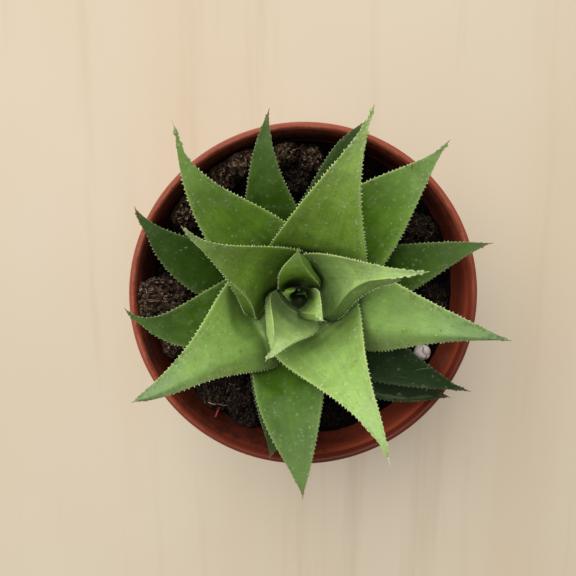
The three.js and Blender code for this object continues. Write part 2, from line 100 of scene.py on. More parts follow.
# The leaves from the youngest to the oldest, as in the imported solids, in millimetres and degrees.
# rise and level are how steep the foot and the tip are, swing and hook turn them sideways, and
# roll turns the blade round its length. keel is the place across where the underside is deepest.
# The outline is BLADE unless named. tone runs from the dark green of an old leaf (0) to the lime
# green of a young one (1), and paler above it; it also carries painted shade and light, low for
# leaves in the shade of others and above 1 for brightly lit young leaves. dark_tip is the share of
# it that the tip loses, bloom is how much pale wax the leaf has, and dry is how brown the tip is.
# left and right say how much further than the
# plain outline the two margins reach, seen from above along the leaf, at its foot, a quarter,
# half and three quarters. flank turns a strip of the underside out past one margin (-1 the left,
# 1 the right) by such a reach. fold bends the part beyond a share of one side down, by a share of
# the reach there. teeth scales the prickles of the left margin, the right margin and the edge of
# the flank. marks are strokes on the upper face from one place to another, given as shares along
# and across, with a half width and how pale they are; below zero they are brown.
LEAVES = [
    dict(tip=(0, 5, 90), width=5, rise=80, level=60, tone=0,
         left=(-0.4, -1, -0.9, -0.3), right=(-0.4, -1, -0.9, -0.3), teeth=(0, 0, 0)),
    dict(tip=(-5, 5.5, 92), width=7, rise=75, level=50, tone=0.95,
         left=(-1, -1.9, -1.6, -0.5), right=(-1, -1.6, -1.3, -0.3), teeth=(0.4, 0.3, 0)),
    dict(tip=(4, -0.2, 95), width=8.5, rise=75, level=40, tone=1.16,
         left=(0, 0, 1, 1.6), right=(0.2, -2, -2.2, -1.4),
         flank=(1, (1.4, 1.2, 1.2, 1.4)), teeth=(0.8, 0.3, 0)),
    dict(tip=(-1.5, 16, 97), width=11.5, rise=60, level=40, hook=-5, outline=SPEAR, tone=0.9,
         left=(0, 0.2, 1.4, 1.4), right=(0, -0.8, -0.8, -0.4),
         flank=(1, (1, 0.2, 0.6, 0.6)), teeth=(0.8, 0.6, 0)),
    dict(tip=(-8.5, -7, 103), width=14.5, rise=65, level=50, swing=4, roll=8,
         outline=SPEAR, tone=1.39, bloom=0.2,
         left=(0.2, 1, 0.4, 0.6), right=(0, -0.6, -1, -1),
         flank=(1, (1, -0.2, 0, 0)), teeth=(1.2, 0.25, 0.4)),
    dict(tip=(24, 12.5, 107), width=19, rise=50, level=25, swing=8, hook=-7, outline=SPEAR,
         tone=1.18, bloom=0.5,
         left=(0, 0.4, 0.2, 0.2), right=(0.4, -3.4, -4.2, -2.6),
         flank=(1, (2.8, 2.2, 2.6, 1.6)), teeth=(1, 0, 1)),
    dict(tip=(-24.8, 21.4, 107), width=21.5, rise=50, level=20, swing=-10, hook=-20,
         outline=SPEAR, tone=0.86, dry=0.3,
         left=(3.8, -0.6, -1.6, -1.6), right=(0, -1.2, -0.4, 0.4),
         flank=(-1, (1, 1.4, -0.4, -3)), teeth=(0.8, 1, 1)),
    dict(tip=(17.9, -28.5, 105), width=24.5, rise=45, level=15, hook=-3, outline=SPEAR,
         tone=0.85, bloom=0.9,
         left=(0, 0.2, -0.6, 0.2), right=(0, 1.4, -0.4, -1), bristle=(0.4, -2.1, 0.5)),
    dict(tip=(12.5, 44.5, 107), width=26, rise=45, level=10, outline=SPEAR, tone=0.88,
         left=(0, -0.6, 0.2, 0.2), right=(0, 1.4, -0.4, -1)),
    dict(tip=(-37.9, -17.2, 101), width=25, rise=40, level=10, swing=-4, hook=-4, roll=18,
         keel=-0.4, outline=SPEAR, tone=0.76, fold=(-1, 0.42, 0.5), bloom=0.7, dark_tip=0.35,
         left=(0, 2.2, 0, 0.2), right=(0, 1.2, -0.2, 0)),
    dict(tip=(43.8, -3.3, 101), width=20.5, rise=38, level=10, tone=0.75,
         fold=(1, 0.42, 0.55), bloom=1, dark_tip=0.5,
         left=(0, -0.2, -1.2, -0.2), right=(0, 2, -0.4, -0.8)),
    dict(tip=(-26.9, 41.4, 101), width=17.5, rise=38, level=20, swing=6, hook=-22, tone=0.64,
         left=(0, 0, -0.4, 0), right=(0, 1, -0.2, -1.2), bristle=(-0.5, 1.5, 0.3)),
    dict(tip=(-0.4, -43.3, 95), width=18, rise=35, level=10, swing=-20, hook=4, tone=0.34, dry=0.4,
         left=(0, 1.2, 1.4, 1.4), right=(0, -0.2, 0.8, 1.2)),
    dict(tip=(30.3, 38.8, 95), width=21, rise=35, level=10, tone=0.55, dry=0.5,
         left=(0, -0.6, 0.8, 0.6), right=(0, 0.2, -0.2, 0),
         marks=[((0.83, -0.94), (0.81, -0.5), 0.22, -0.9),
                ((0.78, -0.7), (0.77, -0.5), 0.15, -0.6)]),
    dict(tip=(-41.7, 1.2, 90), width=17, rise=30, level=15, swing=10, hook=-65, tone=0.32,
         left=(0, 1.4, 0, -1.4), right=(0, 0.4, 0, 0.4)),
    dict(tip=(41, -20.6, 85), width=16, rise=28, level=5, swing=-21, hook=10, tone=0.04, dry=0.3,
         left=(0, -0.2, 0.2, 0), right=(0, 1, 0.4, 0.4),
         marks=[((0.7, -0.1), (0.77, -0.85), 0.08, 0.45), ((0.6, 0.1), (0.69, 0.35), 0.07, 0.22),
                ((0.63, 0.55), (0.68, 0.5), 0.14, 0.2)]),
    dict(tip=(-8.2, 46.2, 87), width=16, rise=26, level=5, swing=11, hook=-24, tone=0.28, dry=0.5,
         left=(0, 1, -0.6, -0.4), right=(0, -0.2, -0.6, 0)),
    dict(tip=(-8.7, -41.5, 78), width=15, rise=22, level=0, swing=-12, hook=5, tone=0.15,
         left=(0, 0, -0.6, 1.6), right=(0, 0.2, 0.6, 0.6)),
    dict(tip=(43.8, 16.2, 86), width=17, rise=24, level=10, swing=-5, hook=-6, tone=0.25, dry=0.5,
         left=(0, -0.6, -1.2, -0.2), right=(0, 0.8, 0.8, 0.8)),
    dict(tip=(-39.2, 24.4, 87), width=15.5, rise=22, level=10, swing=8, hook=-50, tone=0.22,
         dry=0.7,
         left=(0, 2, 1, -1), right=(0, -0.8, -0.4, 1.4),
         marks=[((0.59, 0.52), (0.6, 0.44), 0.26, 0.9), ((0.61, 0.32), (0.62, 0.24), 0.2, 0.6),
                ((0.66, 0.5), (0.67, 0.46), 0.22, 0.4), ((0.63, 0.1), (0.64, 0.06), 0.16, 0.5)]),
    dict(tip=(37.8, -24.4, 79), width=19, rise=20, level=0, swing=-14, hook=8, tone=0.0, dry=0.2,
         left=(0, 0, -0.2, -2), right=(0, 1, 3.2, 3.8),
         marks=[((0.6, 0.88), (0.8, 0.84), 0.4, 0.3), ((0.8, 0.84), (0.92, 0.6), 0.32, 0.24)]),
    dict(tip=(14.1, 44.2, 82), width=16, rise=22, level=0, swing=6, tone=0.15,
         left=(0, 0.4, 0, 2.2)),
]

# Clods of peat that stand out of the soil: centre x and y, radius, height above the level
CLODS = [
    (-36.4, 1, 5.2, 5),
    (-32, 1.2, 4.6, 3.6),
    (-36.5, -13.5, 5, 4.8),
    (-31, 23, 5.6, 5.4),
    (-21, 33, 4.8, 5.6),
    (-16, 36, 5.2, 7.8),
    (-4.5, 38, 3.6, 7.4),
    (2.2, 36.5, 3.6, 6),
    (-1, 31, 4, 2.6),
    (32, 17, 5, 3.4),
    (36, -2, 4.6, 3.2),
    (-18.5, -28.5, 5.5, 3.4),
    (-26, -30.5, 5.5, 3.3),
    (-17, -36.5, 5, 3),
    (-7.5, -38.5, 4.5, 2.4),
    (9, -33, 5, 2.2),
]

# A clod this high is dry and painted light all over
DRY_LIT_CLOD_HEIGHT = 5.6

# Where the pinkish sliver touches the collar
SLIVER_TIP = (-24, -33.6, 69.8)

# The loose block of peat that leans on the rim at the left
BLOCK_MIDDLE = np.array([-36.4, 0.7, 70.8])
BLOCK_SIZE = np.array([6.9, 4.1, 4.5])

# Heights and radii of the pot that follow from its sizes
COLLAR_FOOT = POT_HEIGHT - COLLAR_DEPTH
LEDGE = COLLAR_FOOT + 0.2
LIP_INSIDE = RIM_RADIUS - LIP_WIDTH
COLLAR_OUTSIDE = RIM_RADIUS - 1.4
COLLAR_INSIDE = COLLAR_OUTSIDE - 0.6 - WALL

# Height and radius of the collar's and the lip's inside, from below
INNER_WALL = [
    (LEDGE, COLLAR_INSIDE),
    (POT_HEIGHT - 5, COLLAR_INSIDE + 0.25),
    (POT_HEIGHT - 2.4, LIP_INSIDE - 0.7),
    (POT_HEIGHT - 1, LIP_INSIDE + 0.1),
    (POT_HEIGHT, LIP_INSIDE + 0.75),
]

# The turn from +X to the lit side of the pot's inside, which has the least painted shade, and to
# the side whose lip is painted in shade
LIT_WALL_SIDE = math.radians(-31)
SHADED_LIP_SIDE = math.radians(-65)

# How far from the pot's middle crumbs and fibres start, fibres run on and crumbs stand out
SPOT_REACH = COLLAR_INSIDE - 1.2
FIBRE_REACH = COLLAR_INSIDE - 1
CRUMB_REACH = COLLAR_INSIDE - 0.6

# How many there are of what is scattered
LOW_LUMPS = 46
CRUMBS = 1250
BLOCK_CRUMBS = 420
FIBRES = 3800
BLOCK_FIBRES = 750

# How fine the meshes are
POT_SIDES = 288
SOIL_SIDES = 480
SOIL_RINGS = 165
STEM_SIDES = 48
LEAF_COLUMNS = 21
RINGS_PER_MM = 1.6


# Small helpers for meshes


def unit(way):
    return way / max(np.linalg.norm(way), 1e-9)


def from_axis(points):
    """How far points are from the pot's axis."""
    return np.hypot(points[..., 0], points[..., 1])


def between_corners(grid, i, j, p, q):
    """A grid's value p and q of the way from row i and column j to the next ones."""
    return ((1 - p) * ((1 - q) * grid[i, j] + q * grid[i, j + 1])
            + p * ((1 - q) * grid[i + 1, j] + q * grid[i + 1, j + 1]))


def smoothstep(x, low, high):
    """Runs smoothly from 0 at low to 1 at high."""
    share = np.clip((x - low) / (high - low), 0, 1)
    return share * share * (3 - 2 * share)


class Skin:
    """Collects points, faces and paint for one mesh."""

    def __init__(self):
        self.points, self.faces, self.paint, self.place = [], [], [], []
        self.count = 0

    def add(self, points, faces, paint=None, place=None):
        """Adds a patch, with a row of four numbers for each point in paint and place."""
        points = np.asarray(points, float).reshape(-1, 3)
        self.points.append(points)
        offset = self.count
        self.faces.extend([tuple(int(i) + offset for i in face) for face in faces])
        zeros = np.zeros((len(points), 4))
        self.paint.append(zeros if paint is None else np.asarray(paint, float).reshape(-1, 4))
        self.place.append(zeros if place is None else np.asarray(place, float).reshape(-1, 4))
        self.count += len(points)
        return self

    def build(self, name, material, smooth=True):
        points = np.vstack(self.points) * MM
        mesh = bpy.data.meshes.new(name)
        mesh.from_pydata(points.tolist(), [], self.faces)
        mesh.update()
        for label, rows in (("paint", self.paint), ("place", self.place)):
            layer = mesh.color_attributes.new(label, "FLOAT_COLOR", "POINT")
            layer.data.foreach_set("color", np.vstack(rows).ravel())
        mesh.polygons.foreach_set("use_smooth", [smooth] * len(mesh.polygons))
        mesh.materials.append(material)
        piece = bpy.data.objects.new(name, mesh)
        bpy.context.collection.objects.link(piece)
        return piece


def grid_faces(rows, columns, closed=False):
    """Quads between rows of points. Where closed, the last column joins the first."""
    last = columns if closed else columns - 1
    faces = []
    for i in range(rows - 1):
        for j in range(last):
            k = (j + 1) % columns
            faces.append((i * columns + j, (i + 1) * columns + j,
                          (i + 1) * columns + k, i * columns + k))
    return faces


def circle(middle, first, second, sides):
    """A ring of points round a middle, spanned by two vectors."""
    angles = 2 * math.pi * np.arange(sides) / sides
    return middle + np.outer(np.cos(angles), first) + np.outer(np.sin(angles), second)


def level_circle(radius, height, sides, x=0, y=0):
    """A ring of points round an upright line."""
    return circle((x, y, height), (radius, 0, 0), (0, radius, 0), sides)


def tube(rings, start="flat", end="flat"):
    """Points and faces of joined rings. An end is flat, open (None) or drawn to a point."""
    rings = np.asarray(rings)
    count, sides = rings.shape[:2]
    points = list(rings.reshape(-1, 3))
    faces = [tuple(reversed(face)) for face in grid_faces(count, sides, closed=True)]
    first = range(sides - 1, -1, -1)
    last = range((count - 1) * sides, count * sides)
    for loop, close in ((first, start), (last, end)):
        if isinstance(close, str):
            faces.append(tuple(loop))
        elif close is not None:
            faces += [(loop[j - 1], loop[j], len(points)) for j in range(sides)]
            points.append(np.array(close, float))
    return np.array(points), faces


def lit_paint(amounts):
    """Paint rows whose first number is given."""
    return [[amount, 0, 0, 1] for amount in amounts]


def waves(points, size, seed, octaves=3):
    """Smooth random values between about -1 and 1 at points, with features of a size."""
    rng = np.random.default_rng(seed)
    total = np.zeros(len(points))
    weight = 1.0
    for _ in range(octaves):
        for _ in range(5):
            way = unit(rng.normal(size=3))
            total += weight * np.sin(points @ way * (2 * math.pi / size) * rng.uniform(0.7, 1.4)
                                     + rng.uniform(0, 2 * math.pi)) / 2.6
        weight *= 0.5
        size *= 0.5
    return total


# Leaves


# Lengths in millimetres, bumps per square millimetre, and shares. A push from a younger leaf
# spreads over PUSH_SPREAD points of the mesh and loses PUSH_FADING at each.
BRISTLE_RADIUS = 0.17
FLANK_EDGE = 0.35
PRICKLES_FROM_FOOT = 2.2
PRICKLES_TO_TIP = 1.2
UPPER_BUMPS_PER_AREA = 0.5
UNDER_BUMPS_PER_AREA = 0.2
CLOSE_ABOVE = 9
PUSH_SPREAD = 12
PUSH_FADING = 0.8
# Painted shade laid evenly over the whole underside of a leaf
UNDERSIDE_SHADE = 0.24
STATIONS = (0, 0.25, 0.5, 0.75, 1)


def bezier(t, knots):
    """A smooth curve from the first to the last knot, drawn to the ones between."""
    last = len(knots) - 1
    return sum(math.comb(last, k) * t ** k * (1 - t) ** (last - k) * np.asarray(knot, float)
               for k, knot in enumerate(knots))


def curve(values):
    """The curve through values at the foot, the three quarters and, if given, the tip."""
    return np.polyfit(STATIONS[:len(values)], values, len(values) - 1)


def level_way(angle):
    return np.array([math.cos(angle), math.sin(angle), 0.0])


class Leaf:
    """One leaf's form: points of its upper face and underside, by place along and across."""

    def __init__(self, rank):
        spec = LEAVES[rank]
        self.rank, self.spec = rank, spec
        self.outline = spec.get("outline", BLADE)
        self.width = spec["width"]
        self.keel = spec.get("keel", 0)
        self.trims = {side: curve((*spec.get(name, (0, 0, 0, 0)), 0))
                      for side, name in ((-1, "left"), (1, "right"))}
        self.dry = spec.get("dry", 0.15)
        self.fold = spec.get("fold", (1, 0, 0))
        self.flank = spec.get("flank")
        if self.flank:
            self.flank_turn = curve(self.flank[1])
        tip = np.array(spec["tip"], float)
        axis = np.array([*STEM_PLACE, 0.0])
        heading = math.atan2(tip[1] - axis[1], tip[0] - axis[0])
        start_way = level_way(heading + math.radians(spec.get("swing", 0)))
        end_way = level_way(heading + math.radians(spec.get("hook", 0)))
        rise, level = math.radians(spec["rise"]), math.radians(spec["level"])
        start = axis + start_way * min(FOOT_INSET, self.width / 8)
        start[2] = LOWEST_FOOT + FOOT_STEP * (len(LEAVES) - 1 - rank)
        length = np.linalg.norm(tip - start)
        self.knots = [
            start,
            start + 0.42 * length * (start_way * math.cos(rise) + UP * math.sin(rise)),
            tip - 0.33 * length * (end_way * math.cos(level) + UP * math.sin(level)),
            tip,
        ]
        steps = np.array([self.point(t) for t in np.linspace(0, 1, 201)])
        self.length = np.linalg.norm(np.diff(steps, axis=0), axis=1).sum()
        self.cupping = 0.5 - 0.017 * (rank + 1)

    def point(self, t):
        return bezier(t, self.knots)

    def tangent(self, t):
        a, b, c, d = self.knots
        return unit(bezier(t, (b - a, c - b, d - c)))

    def half_width(self, t):
        shape = self.outline
        from_tip = 1 - t
        share = min(from_tip / shape["widest"], 1)
        necking = 1 - shape["neck"] * max(0, (from_tip - 0.75) / 0.25) ** 2
        swelling = share ** shape["tip"] * (1 + shape["side"] * (1 - share))
        return 0.5 * self.width * swelling * necking

    def reach(self, t, side):
        """How far the left (-1) or right (1) margin is from the middle line."""
        least = BRISTLE_RADIUS * min(1, 0.4 + (1 - t) * 60)
        return max(self.half_width(t) + np.polyval(self.trims[side], t), least)

    def section(self, t):
        """The ways and sizes of the cross section at a place along the leaf."""
        forward = self.tangent(t)
        right = unit(np.cross(forward, UP))
        above = np.cross(right, forward)
        rolling = math.sin(math.pi / 2 * min(t / 0.9, 1) ** 1.2)
        roll = math.radians(self.spec.get("roll", 0)) * rolling
        across = right * math.cos(roll) - above * math.sin(roll)
        normal = above * math.cos(roll) + right * math.sin(roll)
        from_tip = 1 - t
        cup = self.cupping * (0.25 + 0.75 * from_tip ** 1.5) * self.half_width(t)
        thinning = 1 - 0.35 * max(0, (from_tip - 0.5) / 0.5)
        thick = RELATIVE_THICKNESS * self.width * min(from_tip / 0.45, 1) ** 0.75 * thinning
        return across, normal, cup, thick

    def under_line(self, t, us, reaches, cup, thick):
        """How far out and how deep the underside is, for places across."""
        rim = 0.3 * min(1, reaches.min() / 1.6)
        if not self.flank:
            depth = np.where(us < self.keel, (self.keel - us) / (1 + self.keel),
                             (us - self.keel) / (1 - self.keel))
            return us * reaches, cup * (1 - us ** 2) + thick * (1 - depth ** 1.5) + rim
        side = self.flank[0]
        own, other = self.reach(t, side), self.reach(t, -side)
        turned = np.polyval(self.flank_turn, t) * min(1, (1 - t) / 0.2)
        ridge = own + max(turned, -0.65 * own)
        toward = us * side
        share = np.where(toward > FLANK_EDGE, (1 - toward) / (1 - FLANK_EDGE),
                         (FLANK_EDGE - toward) / (FLANK_EDGE + 1))
        out = np.where(toward > FLANK_EDGE, own + share * (ridge - own),
                       ridge - share * (ridge + other))
        level = np.clip(np.where(out > 0, out / own, out / other), -1, 1)
        drop = np.where(toward > FLANK_EDGE, share, 1 - share ** 1.5)
        return side * out, cup * (1 - level ** 2) + thick * drop + rim

    def rows(self, ts, us):
        """Upper face and underside at every t and u, with the outward ways of the upper face."""
        upper = np.zeros((len(ts), len(us), 3))
        under = np.zeros_like(upper)
        normals = np.zeros_like(upper)
        us = np.asarray(us)
        for i, t in enumerate(ts):
            across, normal, cup, thick = self.section(t)
            place = self.point(t)
            reaches = np.where(us < 0, self.reach(t, -1), self.reach(t, 1))
            side, start, share = self.fold
            bent = share * reaches * np.clip((us * side - start) / (1 - start), 0, 1) ** 1.4
            down = cup * (1 - us ** 2) + bent
            upper[i] = place + np.outer(us * reaches, across) - np.outer(down, normal)
            out, deep = self.under_line(t, us, reaches, cup, thick)
            under[i] = place + np.outer(out, across) - np.outer(deep + bent, normal)
            way = normal - np.outer(2 * cup * us / np.maximum(reaches, 1e-6), across)
            normals[i] = way / np.linalg.norm(way, axis=1, keepdims=True)
        return upper, under, normals

    def tone_at(self, t):
        """Lightness of the green along the leaf; a few leaves have a darker tip."""
        return self.spec["tone"] * (1 - self.spec.get("dark_tip", 0) * smoothstep(t, 0.55, 0.95))


class Canopy:
    """The lowest height of the leaves' undersides over every place, on a fine grid."""

    CELL = 0.4
    REACH = 56

    def __init__(self):
        cells = int(2 * self.REACH / self.CELL)
        self.height = np.full((cells, cells), 1e3)

    def cell(self, points):
        cell = ((points[..., :2] + self.REACH) / self.CELL).astype(int)
        cell = np.clip(cell, 0, len(self.height) - 1)
        return cell[..., 0], cell[..., 1]

    def add(self, points):
        low = np.full_like(self.height, 1e3)
        np.minimum.at(low, self.cell(points), points[:, 2])
        for dx in (-1, 0, 1):
            for dy in (-1, 0, 1):
                self.height = np.minimum(self.height, np.roll(low, (dx, dy), (0, 1)))

    def at(self, points):
        return self.height[self.cell(points)]


def contact_shade_share(upper, canopy):
    """How far a younger leaf closely covers a face's surroundings, 0 to 1, used as painted shade.
    """
    share = np.zeros(upper.shape[:2])
    places = [(reach, turn) for reach in (0.5, 1, 1.6) for turn in range(8)]
    for reach, turn in places:
        angle = math.pi * turn / 4 + reach
        beside = upper + np.array([reach * math.cos(angle), reach * math.sin(angle), 0])
        gap = canopy.at(beside) - upper[..., 2]
        share += np.clip(1 - gap / CLOSE_ABOVE, 0, 1)
    from_stem = np.linalg.norm(upper[..., :2] - STEM_PLACE, axis=-1)
    return share / len(places) * (1 - 0.75 * smoothstep(from_stem, 8, 17))


def sunk(upper, under, canopy):
    """Bends a leaf's faces down where they would stand in a younger leaf above them."""
    push = np.clip(upper[..., 2] - canopy.at(upper) + 0.25, 0, 30)
    if not push.any():
        return upper, under
    for _ in range(PUSH_SPREAD):
        framed = np.pad(push, 1)
        near = (framed[:-2, 1:-1], framed[2:, 1:-1], framed[1:-1, :-2], framed[1:-1, 2:])
        push = np.maximum(push, np.max(near, axis=0) - PUSH_FADING)
    thick = upper[..., 2] - under[..., 2]
    upper, under = upper.copy(), under.copy()
    upper[..., 2] -= push
    under[..., 2] = np.minimum(under[..., 2], upper[..., 2] - 0.55 * thick)
    return upper, under


def finer(sheet, times):
    """A sheet of points with more points between them along both of its ways."""
    for _ in range(2):
        places = np.linspace(0, len(sheet) - 1, (len(sheet) - 1) * times + 1)
        low = np.minimum(places.astype(int), len(sheet) - 2)
        share = (places - low)[:, None, None]
        sheet = (sheet[low] * (1 - share) + sheet[low + 1] * share).swapaxes(0, 1)
    return sheet


def prickle_shape(base, way, side, size, width, bend):
    """A small curved prickle, open at its foot."""
    third = np.cross(way, side)
    rings = []
    for level, share in ((-0.25, 1.0), (0.45, 0.62)):
        middle = base + way * size * level + bend * size * max(level, 0) ** 2
        rings.append(circle(middle, 1.25 * share * width * side, 0.75 * share * width * third, 5))
    return tube(rings, None, base + (way + bend) * size)


def bump_shape(base, way, side, radius, height):
    """A small bump on a skin, open at its foot."""
    third = np.cross(way, side)
    rings = [circle(base + way * level * height, share * radius * side, share * radius * third, 6)
             for share, level in ((1.0, -0.35), (0.72, 0.62))]
    return tube(rings, None, base + way * height)


def spaced(count):
    """Places across a blade from -1 to 1, closer together near its margins."""
    ramp = np.linspace(-1, 1, count)
    return np.sin(ramp * math.pi / 2) * 0.55 + ramp * 0.45


def add_prickles(skin, leaf, line, inward, ts, size_scale, rng):
    """Prickles about a millimetre apart on a line of points, and out to the tip."""
    runs = np.concatenate([[0], np.cumsum(np.linalg.norm(np.diff(line, axis=0), axis=1))])
    place = PRICKLES_FROM_FOOT
    while place < runs[-1] - PRICKLES_TO_TIP:
        at = np.array([np.interp(place, runs, line[:, k]) for k in range(3)])
        i = int(np.clip(np.searchsorted(runs, place), 1, len(runs) - 1))
        t = ts[i]
        tone = leaf.tone_at(t)
        across, normal, _, _ = leaf.section(t)
        run = unit(line[i] - line[i - 1])
        outward = -inward * across
        outward = unit(outward - run * (outward @ run))
        size = rng.uniform(0.28, 0.54) * min(1, 0.1 + leaf.half_width(t) / 3.2) * size_scale
        size *= 0.75 + 0.25 * min(tone, 1)
        way = unit(outward + run * rng.uniform(0.1, 0.6) + normal * rng.uniform(-0.15, 0.3))
        width = rng.uniform(0.15, 0.21) * size_scale ** 0.5
        prickle, faces = prickle_shape(at, way, run, size, width, run * 0.25)
        shade = rng.uniform(0.75, 1.1) * (0.8 + 0.2 * tone)
        paint = np.tile([shade, 0.6, 0, 0], (len(prickle), 1))
        paint[:len(prickle) // 2, 0] *= 0.5
        skin.add(prickle, faces, paint, [[0.5, t, tone, 0]] * len(prickle))
        place += rng.uniform(0.75, 1.35)


def add_bumps(skin, leaf, sheet, ts, us, is_under, rng):
    """Small pale bumps on a face, thicker near the margins and toward the tip."""
    t, u = 0.6, 0.0
    density = UNDER_BUMPS_PER_AREA if is_under else UPPER_BUMPS_PER_AREA
    for _ in range(int(leaf.length * leaf.width * density)):
        kind = rng.random()
        if kind < 0.35:
            t, u = t + rng.gauss(0, 0.02), u + rng.gauss(0, 0.06)
        elif kind < 0.7:
            t, u = rng.uniform(0.1, 0.985), rng.choice((-1, 1)) * (0.93 - abs(rng.gauss(0, 0.13)))
        else:
            t, u = rng.uniform(0.1, 0.985), rng.uniform(-0.9, 0.9)
        if rng.random() > 0.3 + 0.7 * t or abs(u) > 0.95 or not 0.1 < t < 0.985:
            continue
        if rng.random() > 0.4 + 0.6 * leaf.half_width(t) / (0.5 * leaf.width):
            continue
        at, way, side = on_sheet(sheet, ts, us, t, u, is_under)
        tone = leaf.tone_at(t)
        radius = rng.triangular(0.15, 0.6, 0.32) * (0.75 + 0.25 * min(tone, 1))
        height = radius * rng.uniform(0.05, 0.12)
        bump, faces = bump_shape(at, way, side, radius, height)
        shade = rng.uniform(0.08, 0.52) * (0.6 + 0.4 * tone)
        paint = np.tile([shade, 0, 0, 0], (len(bump), 1))
        paint[:len(bump) // 2, 0] *= 0.3
        skin.add(bump, faces, paint, [[u * 0.5 + 0.5, t, tone, 0]] * len(bump))


def add_marks(skin, leaf, sheet, ts, us):
    """Strokes on the upper face: scratches, flecks and pale scars."""
    steps = 12
    for start, end, half_width, paleness in leaf.spec.get("marks", ()):
        points = []
        for share in np.linspace(0, 1, steps):
            t, u = np.array(start) * (1 - share) + np.array(end) * share
            at, way, along = on_sheet(sheet, ts, us, t, u, False)
            aside = np.cross(way, along)
            wide = half_width * (0.2 + math.sin(math.pi * share) + 0.2 * math.sin(17 * share))
            run = along if abs(end[1] - start[1]) > 2 * abs(end[0] - start[0]) else aside
            points += [at - run * wide + way * 0.01, at + way * 0.05, at + run * wide + way * 0.01]
        faces = grid_faces(steps, 3)
        pale, brown = max(paleness, 0), max(-paleness, 0)
        skin.add(points, faces, [[pale, 0, brown, 0]] * len(points),
                 [[0.5, start[0], leaf.tone_at(start[0]), 0]] * len(points))


def leaf_faces(leaf, ts, us, canopy):
    """The upper face and the underside, rippled and bent under the younger leaves."""
    upper, under, normals = leaf.rows(ts, us)
    ripple = 0.09 * waves(upper.reshape(-1, 3), 9, 300 + leaf.rank, 2).reshape(upper.shape[:2])
    fading = np.clip((1 - ts) / 0.3, 0, 1)[:, None] * (1 - us[None, :] ** 2)
    return sunk(upper + normals * (ripple * fading)[..., None], under, canopy)


def leaf_paint(leaf, ts, us, contact_shade):
    """Rows of paint (pale, edge, dry, painted shade) and place (across, along, tone, bloom)."""
    dry, bloom = leaf.dry, leaf.spec.get("bloom", 0)
    tones = leaf.tone_at(ts)
    across = np.concatenate([us, us[::-1]])
    edge = np.abs(across) ** 16 + 0.22 * np.abs(across) ** 5
    # Painted highlight: a pale line along the ridge of a flank.
    if leaf.flank:
        ridge_gap = (us[::-1] * leaf.flank[0] - FLANK_EDGE) / 0.1
        edge[len(us):] += 0.5 * np.exp(-ridge_gap ** 2)
    paint = np.zeros((len(ts), len(across), 4))
    paint[..., 1] = np.clip(edge[None, :], 0, 1) * np.clip((1 - ts[:, None]) * 6, 0.35, 1)
    paint[..., 2] = np.clip(smoothstep(ts, 0.92, 1.0)[:, None] * (0.3 + dry), 0, 1)
    # The last number is painted shade: near younger leaves close above on the upper face, even on
    # the underside
    paint[..., :len(us), 3] = contact_shade
    paint[..., len(us):, 3] = UNDERSIDE_SHADE
    place = np.zeros_like(paint)
    place[..., 0] = across[None, :] * 0.5 + 0.5
    place[..., 1] = ts[:, None]
    place[..., 2] = tones[:, None]
    place[..., 3] = bloom
    ends_paint = [[0, 0, 0, 0], [0, 0.3, min(1, 0.45 + dry), 0]]
    ends_place = [[0.5, 0, tones[0], bloom], [0.5, 1, tones[-1], bloom]]
    return (np.vstack([paint.reshape(-1, 4), ends_paint]),
            np.vstack([place.reshape(-1, 4), ends_place]))


def add_teeth(skin, leaf, upper, under, ts, us, rng):
    """Prickles on both margins and on the edge of a flank."""
    left, right, flank = leaf.spec.get("teeth", (1, 1, 0))
    margins = 0.5 * (upper + under)
    lines = [(left, margins[:, 0], 1), (right, margins[:, -1], -1)]
    if flank:
        column = int(np.argmin(np.abs(us * leaf.flank[0] - FLANK_EDGE)))
        lines.append((flank, under[:, column], -leaf.flank[0]))
    for scale, line, inward in lines:
        if scale:
            add_prickles(skin, leaf, line, inward, ts, scale, rng)


def make_leaf(rank, canopy, material):
    """A leaf's blade, prickles and bumps as one piece; adds its underside to the canopy."""
    leaf = Leaf(rank)
    rng = random.Random(100 + rank)
    ts = np.linspace(0, 1, max(30, int(leaf.length * RINGS_PER_MM)) + 1)[:-1] ** 0.96
    us = spaced(LEAF_COLUMNS)
    upper, under = leaf_faces(leaf, ts, us, canopy)
    points, faces = tube(np.concatenate([upper, under[:, ::-1]], axis=1), upper[0].mean(0),
                         leaf.point(1.0))
    paint, place = leaf_paint(leaf, ts, us, contact_shade_share(upper, canopy))
    skin = Skin().add(points, faces, paint, place)
    add_teeth(skin, leaf, upper, under, ts, us, rng)
    add_bumps(skin, leaf, upper, ts, us, False, rng)
    add_bumps(skin, leaf, under, ts, us, True, rng)
    add_bristle(skin, leaf)
    add_marks(skin, leaf, upper, ts, us)
    canopy.add(finer(under, 4).reshape(-1, 3))
    return skin.build(f"leaf_{rank + 1:02d}_blade", material)


def add_bristle(skin, leaf):
    """The fine point that a leaf ends in."""
    tip, forward = leaf.point(1.0), leaf.tangent(1.0)
    way = np.array(leaf.spec.get("bristle", forward * 0.6), float)
    side = unit(np.cross(forward, UP))
    rings = []
    for share in np.arange(5) / 5:
        middle = tip - forward * 0.25 * (1 - share) + way * share
        radius = BRISTLE_RADIUS * 0.8 * (1 - 0.7 * share)
        rings.append(circle(middle, radius * side, radius * np.cross(forward, side), 6))
    points, faces = tube(rings, end=tip + way)
    pale = 0.75 if np.linalg.norm(way) > 1 else 0.3
    skin.add(points, faces, [[pale, 0, min(1, 0.3 + leaf.dry), 0]] * len(points),
             [[0.5, 1, leaf.tone_at(1), 0]] * len(points))


